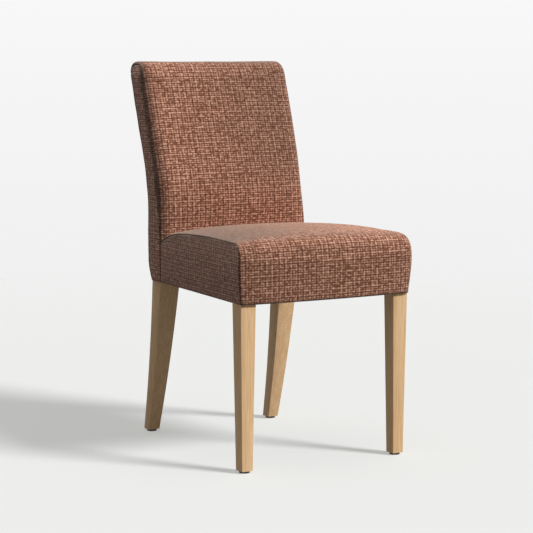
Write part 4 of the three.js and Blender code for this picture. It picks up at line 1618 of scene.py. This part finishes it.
@dataclass(frozen=True)
class Wood:
    """A planed wood with straight grain along Z, or along another axis after a turn."""

    name: str
    ground: tuple[int, int, int]
    dark: tuple[int, int, int]
    pale: tuple[int, int, int]
    roughness: float
    turn: tuple[float, float, float] = (0.0, 0.0, 0.0)
    shift: tuple[float, float, float] = (0.0, 0.0, 0.0)
    specular: float = 0.15
    grain_edges: tuple[float, float] = (0.42, 0.72)
    grain_share: float = 0.55
    pore_share: float = 0.35
    rough_edges: tuple[float, float] = (0.3, 0.7)
    smoother: float = 0.06
    rougher: float = 0.08
    bump: float = 0.35
    depth: float = 0.0003

    def make(self) -> Finish:
        """Makes the material.

        Returns:
            The material.
        """
        material, sheet, shader = new_material(self.name)
        where = sheet.add("ShaderNodeTexCoord").outputs["Object"]
        placed = sheet.add("ShaderNodeMapping", None, Vector=where, Rotation=self.turn, Location=self.shift)
        grain = use_group(sheet, "wood_grain", Place=placed.outputs[0])
        ground, dark, pale = tint(*self.ground), tint(*self.dark), tint(*self.pale)
        base = sheet.mix(grain.outputs["Bands"], ground, pale)
        streaks = sheet.span(grain.outputs["Grain"], *self.grain_edges, 0.0, self.grain_share)
        base = sheet.mix(streaks, base, dark)
        pores = sheet.math("MULTIPLY", grain.outputs["Pores"], self.pore_share)
        base = sheet.mix(pores, base, dark)
        sheet.feed(shader.inputs["Base Color"], base)
        low, high = self.roughness - self.smoother, self.roughness + self.rougher
        rough = sheet.span(grain.outputs["Grain"], *self.rough_edges, low, high)
        sheet.feed(shader.inputs["Roughness"], rough)
        shader.inputs["Specular IOR Level"].default_value = self.specular
        add_bump(sheet, shader, grain.outputs["Height"], self.bump, self.depth)
        return material


@dataclass(frozen=True)
class Plain:
    """A finish without a grain: foam, wadding, webbing, lining, steel or moulded plastic."""

    name: str
    ground: tuple[int, int, int]
    other: tuple[int, int, int]
    roughness: float
    cloud_size: float = 0.03
    speck_size: float = 0.002
    speck_share: float = 0.5
    rough_edges: tuple[float, float] = (0.3, 0.7)
    rough_spread: float = 0.05
    metal: float = 0.0
    bump: float = 0.3
    depth: float = 0.0003

    def make(self) -> Finish:
        """Makes the material.

        Returns:
            The material.
        """
        material, sheet, shader = new_material(self.name)
        where = sheet.add("ShaderNodeTexCoord").outputs["Object"]
        sizes = {"Cloud_Size": self.cloud_size, "Speck_Size": self.speck_size}
        mottle = use_group(sheet, "mottle", Place=where, **sizes)
        ground, other = tint(*self.ground), tint(*self.other)
        base = sheet.mix(mottle.outputs["Clouds"], ground, other)
        base = sheet.mix(sheet.math("MULTIPLY", mottle.outputs["Specks"], self.speck_share), base, other)
        sheet.feed(shader.inputs["Base Color"], base)
        low, high = self.roughness - self.rough_spread, self.roughness + self.rough_spread
        rough = sheet.span(mottle.outputs["Clouds"], *self.rough_edges, low, high)
        sheet.feed(shader.inputs["Roughness"], rough)
        shader.inputs["Metallic"].default_value = self.metal
        add_bump(sheet, shader, mottle.outputs["Height"], self.bump, self.depth)
        return material


# Legs and glides


@dataclass(frozen=True)
class LegSection:
    """One level of a leg: its outer and inner faces across, its front and rear faces, its height."""

    outer: float
    inner: float
    front: float
    rear: float
    z: float


@dataclass
class Leg:
    """A square leg with eased edges, built up level by level."""

    name: str
    side: int
    sections: tuple[LegSection, ...]
    node: str
    edge: float = 0.0019
    edge_segments: int = 3
    crease: float = 35.0

    def outline(self, bm: Shape, section: LegSection) -> list[bmesh.types.BMEdge]:
        """Adds the rounded outline of one level.

        Args:
            bm: the leg's shape.
            section: the level.

        Returns:
            The outline's edges.
        """
        made = bmesh.ops.create_grid(bm, x_segments=1, y_segments=1, size=0.5)
        corners = made["verts"]
        for vertex in corners:
            x = blend(section.inner, section.outer, vertex.co.x + 0.5)
            y = blend(section.front, section.rear, vertex.co.y + 0.5)
            vertex.co = Vector((self.side * x, y + ORIGIN_SHIFT, section.z))
        rounded = bmesh.ops.bevel(
            bm,
            geom=corners,
            offset=self.edge,
            segments=self.edge_segments,
            affect="VERTICES",
            profile=0.5,
            material=-1,
        )
        faces = {face for vertex in rounded["verts"] for face in vertex.link_faces}
        edges = {edge for face in faces for edge in face.edges}
        bmesh.ops.delete(bm, geom=list(faces), context="FACES_ONLY")
        return list(edges)

    def build(self, finish: Finish) -> None:
        """Builds and dresses the leg.

        Args:
            finish: its wood.
        """
        bm = bmesh.new()
        loops = [self.outline(bm, section) for section in self.sections]
        for below, above in zip(loops, loops[1:]):
            bmesh.ops.bridge_loops(bm, edges=below + above)
        bmesh.ops.edgeloop_fill(bm, edges=loops[0])
        bmesh.ops.edgeloop_fill(bm, edges=loops[-1])
        bmesh.ops.recalc_face_normals(bm, faces=bm.faces)
        piece = link(self.name, bm)
        round_off(piece, self.crease)
        settle(piece, finish, [self.node])


@dataclass
class Glide:
    """A round nailed glide under a leg."""

    name: str
    node: str
    edge: float = 0.0012
    nail_radius: float = 0.0014
    nail_length: float = 0.015
    gap: float = 0.0003
    steps: int = 48
    edge_steps: int = 4
    crease: float = 40.0

    def build(self, finish: Finish) -> None:
        """Builds and dresses the glide.

        Args:
            finish: its plastic.
        """
        low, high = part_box(self.node)
        radius = (high.x - low.x) / 2
        centre = Vector(((low.x + high.x) / 2, (low.y + high.y) / 2, 0))
        height = high.z - self.nail_length
        turns = np.linspace(0, math.pi / 2, self.edge_steps + 1)
        lower = [(radius - self.edge * (1 - math.sin(a)), self.edge * (1 - math.cos(a))) for a in turns]
        upper = [(r, height - self.gap - z) for r, z in reversed(lower)]
        nail_top = high.z - self.nail_radius
        nail = [(self.nail_radius, height - self.gap), (self.nail_radius, nail_top), (0, high.z)]
        profile = [(0, 0), *lower, *upper, *nail]
        bm = bmesh.new()
        points = [bm.verts.new(centre + Vector((r, 0, z))) for r, z in profile]
        edges = [bm.edges.new(pair) for pair in zip(points, points[1:])]
        bmesh.ops.spin(
            bm,
            geom=points + edges,
            cent=centre,
            axis=(0, 0, 1),
            angle=math.tau,
            steps=self.steps,
            use_merge=True,
        )
        bmesh.ops.remove_doubles(bm, verts=bm.verts, dist=SNAP)
        bmesh.ops.recalc_face_normals(bm, faces=bm.faces)
        piece = link(self.name, bm)
        round_off(piece, self.crease)
        settle(piece, finish, [self.node])


@dataclass
class Legs:
    """The four legs, measured from the frame."""

    leg_top: float = 0.3797
    rail_top: float = 0.4495
    glide_height: float = 0.005
    rebate: float = 0.003
    sweep: float = 0.026
    sweep_steps: int = 20
    post_steps: int = 24
    lean: Lean = field(default_factory=Lean)

    front_top: tuple[float, float] = (0.0386, 0.0393)
    front_foot: tuple[float, float] = (0.0282, 0.0288)
    front_outer: float = 0.2188
    front_face: float = -0.4257
    front_foot_inset: float = 0.0051
    front_foot_set_back: float = 0.0035
    block_outer: float = 0.2157

    rear_top: tuple[float, float] = (0.0523, 0.044)
    rear_foot: tuple[float, float] = (0.0286, 0.0283)
    rear_outer: float = 0.1908
    rear_face: float = 0.0162
    rear_foot_inset: float = 0.0088
    rear_foot_set_back: float = 0.0823
    post_width: float = 0.038
    post_front: float = 0.030
    post_taper: float = 0.020

    def front_sections(self, node: str) -> tuple[LegSection, ...]:
        """Lists the levels of a front leg: foot, top, and the block inside the upholstery.

        Args:
            node: the leg's node in the frame.

        Returns:
            The levels from the foot up.
        """
        block_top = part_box(node)[1].z
        width, depth = self.front_top
        foot_width, foot_depth = self.front_foot
        foot_outer = self.front_outer - self.front_foot_inset
        foot_front = self.front_face + self.front_foot_set_back
        inner = self.front_outer - width
        rear = self.front_face + depth
        block = (self.block_outer, inner + self.rebate, self.front_face + self.rebate, rear - self.rebate)
        foot = (foot_outer, foot_outer - foot_width, foot_front, foot_front + foot_depth)
        return (
            LegSection(*foot, self.glide_height),
            LegSection(self.front_outer, inner, self.front_face, rear, self.leg_top),
            LegSection(*block, self.leg_top),
            LegSection(*block, block_top),
        )

    def rear_sections(self, node: str) -> tuple[LegSection, ...]:
        """Lists the levels of a rear leg: swept foot, top, block, and the post of the back.

        Args:
            node: the leg's node in the frame.

        Returns:
            The levels from the foot up.
        """
        post_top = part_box(node)[1].z
        sections = []
        for i in range(self.sweep_steps + 1):
            share = 1 - i / self.sweep_steps
            outer = self.rear_outer - self.rear_foot_inset * share
            width = blend(self.rear_top[0], self.rear_foot[0], share)
            depth = blend(self.rear_top[1], self.rear_foot[1], share)
            bow = self.sweep * (share**2 - share)
            front = self.rear_face + self.rear_foot_set_back * share + bow
            z = blend(self.leg_top, self.glide_height, share)
            sections.append(LegSection(outer, outer - width, front, front + depth, z))
        outer = self.rear_outer - self.rebate
        inner = self.rear_outer - self.rear_top[0] + self.rebate
        front = self.rear_face + self.rebate
        rear = self.rear_face + self.rear_top[1] - self.rebate
        sections.append(LegSection(outer, inner, front, rear, self.leg_top))
        sections.append(LegSection(outer, inner, front, rear, self.rail_top))
        start = self.rail_top + self.post_taper
        post_inner = outer - self.post_width
        for i in range(self.post_steps + 1):
            z = blend(start, post_top, i / self.post_steps)
            lean = self.lean.at(z)
            sections.append(LegSection(outer, post_inner, self.post_front + lean, rear + lean, z))
        return tuple(sections)

    def build(self, woods: dict[str, Finish], plastic: Finish) -> None:
        """Builds the four legs and their glides.

        Args:
            woods: the wood of each leg, by its name.
            plastic: the glides' material.
        """
        for word, side in SIDES.items():
            for end, sections in (("front", self.front_sections), ("rear", self.rear_sections)):
                node = f"{end}_leg_{word}"
                Leg(f"{end}_oak_leg_{word}", side, sections(node), node).build(woods[node])
                Glide(f"{end}_foot_glide_{word}", f"{end}_glide_{word}").build(plastic)


# Soft parts inside the covers


@dataclass
class SoftBlock:
    """A soft piece made from a copy of its solid in the frame, eased and kept inside the covers."""

    name: str
    node: str
    slot: Slot
    edge: float = 0.0008
    edge_segments: int = 2
    edge_angle: float = 40.0
    crease: float = 50.0
    step: float = 0.015
    uneven: float = 0.0003
    uneven_size: float = 0.02
    search: float = 0.03
    gap: float = 0.0021
    give: float = 0.15
    reach: float = 0.006
    fill: float = 0.9

    def shape(self) -> Shape:
        """Copies the solid's shape, eases its edges and cuts it into small faces.

        Returns:
            The shape.
        """
        bm = plain_copy(self.node)
        for layer in list(bm.loops.layers.uv.values()):
            bm.loops.layers.uv.remove(layer)
        bmesh.ops.dissolve_limit(bm, angle_limit=FLAT_ANGLE, verts=bm.verts, edges=bm.edges)
        bm.normal_update()
        least = math.radians(self.edge_angle)
        sharp = [edge for edge in bm.edges if edge.is_manifold and edge.calc_face_angle() > least]
        bmesh.ops.bevel(
            bm,
            geom=sharp,
            offset=self.edge,
            segments=self.edge_segments,
            affect="EDGES",
            profile=0.5,
            material=-1,
            clamp_overlap=True,
        )
        cut_across(bm, self.node, self.step, 3)
        return bm

    def build(self, finish: Finish, skin: BVHTree) -> None:
        """Builds and dresses the piece.

        Args:
            finish: its material.
            skin: the cover's skin, which it stays inside.
        """
        bm = self.shape()
        bm.normal_update()
        for vertex in bm.verts:
            amount = 0.5 + 0.5 * noise.noise(vertex.co / self.uneven_size)
            vertex.co -= vertex.normal * self.uneven * amount
            place, outward, _, _ = skin.find_nearest(vertex.co, self.search)
            if place:
                depth = (place - vertex.co).dot(outward)
                wanted = self.gap + self.give * (depth + self.reach)
                vertex.co -= outward * max(wanted - depth, 0.0)
        bmesh.ops.recalc_face_normals(bm, faces=bm.faces)
        piece = link(self.name, bm)
        round_off(piece, self.crease)
        settle(piece, finish, [self.node])


@dataclass
class Webbing:
    """The straps under the seat, woven over and under each other, and the straps of the back."""

    straps: int = 4
    reach: float = 0.027
    lift: float = 0.0019
    thickness: float = 0.0015
    clear_height: float = 0.0008
    level_steps: int = 4
    rise_steps: int = 8
    columns: int = 9
    back_rows: int = 40
    back_clear: float = 0.0011
    lean: Lean = field(default_factory=Lean)

    def route(self, start: float, end: float, crossings: Sequence[float], first_low: bool) -> np.ndarray:
        """Finds a strap's way over and under the others.

        Args:
            start: where it starts.
            end: where it ends.
            crossings: the middles of the straps that it crosses, in order.
            first_low: whether it passes under the first of them.

        Returns:
            Rows of distance and lift.
        """
        knots = [(start, 0.0)]
        for index, middle in enumerate(crossings):
            level = 0.0 if (index % 2 == 0) == first_low else self.lift
            knots += [(middle - self.reach, level), (middle + self.reach, level)]
        knots.append((end, 0.0))
        rows = []
        for (at, level), (next_at, next_level) in zip(knots, knots[1:]):
            steps = self.level_steps if level == next_level else self.rise_steps
            for share in np.linspace(0, 1, steps, endpoint=False):
                risen = share**2 * (3 - 2 * share)
                rows.append((blend(at, next_at, share), blend(level, next_level, risen)))
        rows.append(knots[-1])
        return np.array(rows)

    def seat_strap(self, node: str, axis: int, crossings: Sequence[float], first_low: bool) -> np.ndarray:
        """Lays a strap under the seat.

        Args:
            node: its node in the frame.
            axis: the axis that it runs along, 0 for X and 1 for Y.
            crossings: the middles of the straps that it crosses.
            first_low: whether it passes under the first of them.

        Returns:
            Its middle surface as rows, columns and coordinates.
        """
        low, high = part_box(node)
        rows = self.route(low[axis], high[axis], crossings, first_low)
        across = np.linspace(low[1 - axis], high[1 - axis], self.columns)
        points = np.zeros((len(rows), self.columns, 3))
        points[:, :, axis] = rows[:, :1]
        points[:, :, 1 - axis] = across[None]
        points[:, :, 2] = low.z + self.clear_height + rows[:, 1:]
        return points

    def back_strap(self, node: str) -> np.ndarray:
        """Lays a strap across the back, where it follows the posts' lean.

        Args:
            node: its node in the frame.

        Returns:
            Its middle surface as rows, columns and coordinates.
        """
        low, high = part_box(node)
        points = np.zeros((self.back_rows, self.columns, 3))
        for column, z in enumerate(np.linspace(low.z, high.z, self.columns)):
            y = Legs.post_front + self.lean.at(z) - self.back_clear + ORIGIN_SHIFT
            points[:, column] = [(x, y, z) for x in np.linspace(low.x, high.x, len(points))]
        return points

    def lay_strap(self, name: str, node: str, points: np.ndarray, finish: Finish) -> None:
        """Builds and dresses a strap along its route.

        Args:
            name: its name.
            node: its node in the frame.
            points: its middle surface as rows along it, columns across it, and coordinates.
            finish: its webbing.
        """
        flat = np.stack([steps_along(points, 1), steps_along(points, 0)], axis=2)
        piece = link(name, grid_piece(points, flat))
        smooth(piece)
        thicken(piece, self.thickness, offset=0.0)
        settle(piece, finish, [node])

    def build(self, finish: Finish) -> None:
        """Builds the twelve straps.

        Args:
            finish: their webbing.
        """
        numbers = range(1, self.straps + 1)
        middles = {}
        for word, axis in (("long", 0), ("cross", 1)):
            boxes = [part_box(f"seat_strap_{word}_{number}") for number in numbers]
            middles[word] = [(low[axis] + high[axis]) / 2 for low, high in boxes]
        for number in numbers:
            for word, other, axis in (("long", "cross", 1), ("cross", "long", 0)):
                node = f"seat_strap_{word}_{number}"
                first_low = number % 2 == axis
                points = self.seat_strap(node, axis, middles[other], first_low)
                self.lay_strap(f"webbing_{word}_{number}", node, points, finish)
            node = f"back_strap_{number}"
            self.lay_strap(f"webbing_back_{number}", node, self.back_strap(node), finish)


@dataclass
class DustCover:
    """The thin dark cloth under the seat, with a flat hem band round its edge and a slight sag between."""

    node: str = "dust_cover"
    hem: float = 0.008
    step: float = 0.020
    sag: float = 0.0016
    sag_power: float = 1.5
    wave: float = 0.3
    wave_size: float = 0.07
    facing_down: float = -0.5
    thickness: float = 0.0008
    rails: tuple[str, ...] = ("front_rail", "rear_rail", "side_rail_left", "side_rail_right")

    def build(self, finish: Finish) -> None:
        """Builds and dresses the dust cover.

        Args:
            finish: its cloth.
        """
        bm = plain_copy(self.node)
        bm.normal_update()
        others = [face for face in bm.faces if face.normal.z > self.facing_down]
        bmesh.ops.delete(bm, geom=others, context="FACES")
        bmesh.ops.dissolve_limit(bm, angle_limit=FLAT_ANGLE, verts=bm.verts, edges=bm.edges)
        area = sum(face.calc_area() for face in bm.faces)
        bmesh.ops.inset_region(bm, faces=bm.faces, thickness=self.hem, use_even_offset=True)
        cut_across(bm, self.node, self.step, 2)
        low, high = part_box(self.node)
        for vertex in bm.verts:
            u = (vertex.co.x - low.x) / (high.x - low.x)
            v = (vertex.co.y - low.y) / (high.y - low.y)
            dish = (4 * u * (1 - u)) * (4 * v * (1 - v))
            wave = self.wave * noise.noise(vertex.co / self.wave_size)
            vertex.co.z -= self.sag * max(dish**self.sag_power * (1 + wave), 0.0)
        piece = link("dust_cover_cloth", bm)
        thicken(piece, self.thickness)
        settle(piece, finish, [self.node])


def build_soft_parts(finishes: dict[str, Finish], skins: dict[str, BVHTree]) -> None:
    """Builds the foams and pads.

    Args:
        finishes: the foam and the wadding, by name.
        skins: the skins of the seat's cover and the back's cover.
    """
    for end, skin in skins.items():
        SoftBlock(f"{end}_cushion_foam", f"{end}_foam", Slot.FOAM).build(finishes["foam"], skin)
        plain = "seat_front_pad" if end == "seat" else "back_rear_pad"
        for node in (plain, *(f"{end}_side_pad_{word}" for word in SIDES)):
            SoftBlock(f"{node}_wadding", node, Slot.WADDING, edge=0.0004).build(finishes["wadding"], skin)


def finish_frame(finishes: dict[str, Finish]) -> None:
    """Dresses the frame's own pieces that show as they are: rails, blocks, bolts and washers.

    Args:
        finishes: the beech of each running direction and the steel, by name.
    """
    across = ("front_rail", "rear_rail", "crest_rail", "lower_back_rail", "corner_block")
    along = ("side_rail",)
    metal = ("corner_bolt", "washer")
    for name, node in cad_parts.items():
        for starts, finish in ((across, "beech_across"), (along, "beech_along"), (metal, "steel")):
            if not name.startswith(starts):
                continue
            if not node.material_slots:
                node.data.materials.append(finishes[finish])
            for slot in node.material_slots:
                slot.material = finishes[finish]


# Stage, light and camera


def direction(azimuth: float, elevation: float) -> Vector:
    """Finds the way from the chair to a camera or a light.

    Args:
        azimuth: degrees round from the chair's front, towards its right.
        elevation: degrees above the floor.

    Returns:
        The unit direction.
    """
    turn, rise = math.radians(azimuth), math.radians(elevation)
    flat = math.cos(rise)
    return Vector((math.sin(turn) * flat, -math.cos(turn) * flat, math.sin(rise)))


@dataclass(frozen=True)
class Camera:
    """The photograph's viewpoint, found by fitting the chair's own straight edges."""

    target: tuple[float, float, float] = (0.0007, -0.0210, 0.4228)
    azimuth: float = -29.95
    elevation: float = 6.78
    roll: float = 0.1
    distance: float = 4.662
    focal_pixels: float = 1981.4
    image_pixels: float = 533.0
    sensor: float = 36.0
    sight: float = 100.0

    def build(self) -> None:
        """Sets up the camera as the scene's own."""
        back = direction(self.azimuth, self.elevation)
        data = bpy.data.cameras.new("camera")
        data.sensor_width = self.sensor
        data.lens = self.focal_pixels / self.image_pixels * self.sensor
        data.clip_end = self.sight
        camera = bpy.data.objects.new("camera", data)
        turn = back.to_track_quat("Z", "Y").to_matrix().to_4x4()
        turn = turn @ Matrix.Rotation(math.radians(self.roll), 4, "Z")
        camera.matrix_world = Matrix.Translation(Vector(self.target) + back * self.distance) @ turn
        bpy.context.scene.collection.objects.link(camera)
        bpy.context.scene.camera = camera


@dataclass(frozen=True)
class Sun:
    """A wide soft light from far off, so that it falls evenly on the chair and the floor."""

    name: str
    azimuth: float
    elevation: float
    strength: float
    spread: float
    shadow: bool = True
    distance: float = 5.0

    def build(self) -> None:
        """Puts the light in place."""
        back = direction(self.azimuth, self.elevation)
        data = bpy.data.lights.new(self.name, "SUN")
        data.energy = self.strength
        data.angle = math.radians(self.spread)
        data.use_shadow = self.shadow
        lamp = bpy.data.objects.new(self.name, data)
        turn = back.to_track_quat("Z", "Y").to_matrix().to_4x4()
        lamp.matrix_world = Matrix.Translation(back * self.distance) @ turn
        bpy.context.scene.collection.objects.link(lamp)


@dataclass
class Studio:
    """A pale floor, a world that is brightest overhead, and two lights: a key and a fill."""

    floor_seen: tuple[int, int, int] = (211, 212, 210)
    floor_clouds: tuple[int, int, int] = (210, 211, 209)
    floor_lit: tuple[int, int, int] = (118, 118, 118)
    overhead: float = 0.35
    overhead_power: float = 2.0
    level: float = 0.085
    seen_low: tuple[int, int, int] = (241, 241, 241)
    seen_high: tuple[int, int, int] = (249, 249, 249)
    seen_rise: tuple[float, float] = (-0.12, 0.06)
    reach: float = 8.0
    floor_steps: int = 24
    floor_cloud_size: float = 0.9
    floor_speck_size: float = 0.01
    fade_start: float = 1.2
    fade_end: float = 4.5
    key: Sun = Sun("key", 34.5, 37.5, strength=2.65, spread=15.0)
    fill: Sun = Sun("overhead_fill", 0.0, 90.0, strength=1.7, spread=10.0, shadow=False)

    def seen_directly(self, sheet: Sheet) -> Socket:
        """Picks out the rays that show the studio itself: from the camera, or by gloss or glass.

        Args:
            sheet: the sheet of the floor's material or of the world.

        Returns:
            1 for such a ray, and 0 for others.
        """
        path = sheet.add("ShaderNodeLightPath").outputs
        direct = sheet.math("MAXIMUM", path["Is Camera Ray"], path["Is Glossy Ray"])
        return sheet.math("MAXIMUM", direct, path["Is Transmission Ray"])

    def floor(self) -> None:
        """Builds the floor, which shows at an even tone and keeps the chair's shadow."""
        bm = bmesh.new()
        bmesh.ops.create_grid(bm, x_segments=self.floor_steps, y_segments=self.floor_steps, size=self.reach)
        piece = link("floor", bm)
        material, sheet, shader = new_material("studio_floor")
        where = sheet.add("ShaderNodeTexCoord").outputs["Object"]
        sizes = {"Cloud_Size": self.floor_cloud_size, "Speck_Size": self.floor_speck_size}
        mottle = use_group(sheet, "mottle", Place=where, **sizes)
        seen = sheet.mix(mottle.outputs["Clouds"], tint(*self.floor_seen), tint(*self.floor_clouds))
        base = sheet.mix(self.seen_directly(sheet), tint(*self.floor_lit), seen)
        sheet.feed(shader.inputs["Base Color"], base)
        shader.inputs["Roughness"].default_value = 1.0
        shader.inputs["Specular IOR Level"].default_value = 0.0
        away = sheet.add("ShaderNodeVectorMath", {"operation": "LENGTH"}, Vector=where).outputs["Value"]
        sheet.feed(shader.inputs["Alpha"], sheet.span(away, self.fade_start, self.fade_end, 1.0, 0.0))
        piece.data.materials.append(material)

    def world(self) -> None:
        """Sets a world that lights from overhead and shows as pale grey."""
        world = bpy.data.worlds.new("studio")
        world.use_nodes = True
        tree = world.node_tree
        tree.nodes.clear()
        sheet = Sheet(tree)
        looking = sheet.add("ShaderNodeTexCoord").outputs["Generated"]
        up = sheet.add("ShaderNodeSeparateXYZ", Vector=looking).outputs["Z"]
        above = sheet.math("POWER", sheet.math("MAXIMUM", up, 0.0), self.overhead_power)
        even = sheet.math("MULTIPLY", sheet.math("GREATER_THAN", up, 0.0), self.level)
        strength = sheet.math("MULTIPLY_ADD", above, self.overhead, even)
        light = sheet.add("ShaderNodeBackground", None, Color=(1, 1, 1, 1), Strength=strength)
        shown = sheet.mix(sheet.span(up, *self.seen_rise), tint(*self.seen_low), tint(*self.seen_high))
        seen = sheet.add("ShaderNodeBackground", None, Color=shown, Strength=1.0)
        mixed = sheet.add("ShaderNodeMixShader", None, Fac=self.seen_directly(sheet))
        tree.links.new(light.outputs[0], mixed.inputs[1])
        tree.links.new(seen.outputs[0], mixed.inputs[2])
        output = sheet.add("ShaderNodeOutputWorld")
        tree.links.new(mixed.outputs[0], output.inputs["Surface"])
        bpy.context.scene.world = world

    def build(self) -> None:
        """Builds the floor, the world and the two lights."""
        self.floor()
        self.world()
        self.key.build()
        self.fill.build()
        bpy.context.scene.view_settings.view_transform = "Standard"


def weave_cloths() -> dict[str, Finish]:
    """Makes the covers' fabric, with painted light and shade in its colour.

    Returns:
        The cloth of each panel, by the panel's name.
    """
    # Both cloths have painted shade in their seams; the side cloth's paler tones are painted light on side
    # panels that lie in shade.
    face = {"ground": (134, 87, 65), "deep": (72, 37, 24), "pale": (210, 162, 139)}
    face |= {"sheen": 0.6, "painted_seam_shade": 0.55}
    side = {"ground": (142, 99, 80), "deep": (74, 42, 30), "pale": (204, 164, 146)}
    side |= {"sheen": 0.5, "painted_seam_shade": 0.55}
    # Painted light: the seat's top is lighter than its front and lighter to the right; the back's face is
    # lighter to the left and low down, with a painted shadow band down its left edge and a painted
    # highlight down its right.
    seat_painted_light = {"painted_light_across": (0.5, 3.0), "painted_light_rise": 0.17, "painted_light_range": (0.145, 0.195)}
    back_painted_light = {"painted_light_across": (-0.3, -1.4), "painted_light_rise": -0.15, "painted_light_range": (0.08, 0.22)}
    back_painted_light |= {"painted_light_gain": 1.07, "painted_band_levels": (0.32, 1.25)}
    cloths = {
        "seat_top_cloth": Cloth("heather_seat_top", **face, **seat_painted_light).make(),
        "back_front_cloth": Cloth("heather_back_front", **face, **back_painted_light).make(),
        "back_outside_cloth": Cloth("heather_back_outside", **face).make(),
    }
    # Painted light: the side panels, which lie in shade, are brightened.
    for end, painted_light_gain in (("seat", 1.28), ("back", 1.50)):
        side_cloth = Cloth(f"heather_{end}_side", painted_light_gain=painted_light_gain, **side).make()
        for word in SIDES:
            cloths[f"{end}_side_cloth_{word}"] = side_cloth
    return cloths


def saw_oak() -> dict[str, Finish]:
    """Makes the legs' oak, with a figure of its own for each leg.

    Returns:
        The wood of each leg, by the leg's node.
    """
    tones = {"ground": (238, 195, 146), "dark": (200, 153, 103), "pale": (250, 212, 165)}
    apart = (0.37, 0.21, 0.13)
    woods = {}
    for index, node in enumerate(f"{end}_leg_{word}" for end in ("front", "rear") for word in SIDES):
        shift = tuple(index * step for step in apart)
        woods[node] = Wood(f"oak_{node}", shift=shift, roughness=0.5, **tones).make()
    return woods


def make_inner_finishes() -> dict[str, Finish]:
    """Makes the finishes of what lies under the covers, and of the glides.

    Returns:
        The finishes by name.
    """
    beech = {"ground": (214, 184, 146), "dark": (186, 148, 108), "pale": (226, 200, 166)}
    beech |= {"roughness": 0.65}
    quarter = math.pi / 2
    webbing = {"ground": (58, 55, 52), "deep": (34, 32, 30), "pale": (104, 98, 90)}
    webbing |= {"fine_pitch": 0.0009, "slub_pitch": 0.0050, "slub_length": 0.30, "specular": 0.2}
    foam = Plain("cushion_foam", (236, 228, 206), (222, 210, 184), 0.95, speck_size=0.0012, bump=0.6)
    wadding = Plain("polyester_wadding", (241, 239, 232), (228, 226, 218), 1.0, bump=0.5)
    lining = Plain("dust_cover_lining", (33, 32, 31), (45, 44, 42), 0.95, speck_size=0.0009)
    steel = Plain("zinc_plated_steel", (178, 180, 184), (150, 152, 158), 0.35, metal=1.0, bump=0.1)
    return {
        "foam": foam.make(),
        "wadding": wadding.make(),
        "lining": lining.make(),
        "steel": steel.make(),
        "beech_across": Wood("beech_across", turn=(0.0, quarter, 0.0), **beech).make(),
        "beech_along": Wood("beech_along", turn=(quarter, 0.0, 0.0), **beech).make(),
        "plastic": Plain("black_plastic", (26, 26, 27), (38, 38, 40), 0.45).make(),
        "webbing": Cloth("elastic_webbing", **webbing).make(),
    }


def main() -> None:
    """Builds the chair's finishes and pieces in order."""
    logging.basicConfig(level=logging.INFO, format="%(name)s: %(message)s")
    Camera().build()
    for make_group in (yarn_group, grain_group, mottle_group):
        make_group()
    Studio().build()
    cloths, woods, finishes = weave_cloths(), saw_oak(), make_inner_finishes()
    skins = {"seat": SeatUpholstery().build(cloths), "back": BackUpholstery().build(cloths)}
    Legs().build(woods, finishes["plastic"])
    Webbing().build(finishes["webbing"])
    DustCover().build(finishes["lining"])
    build_soft_parts(finishes, skins)
    finish_frame(finishes)


if __name__ == "__main__":
    main()
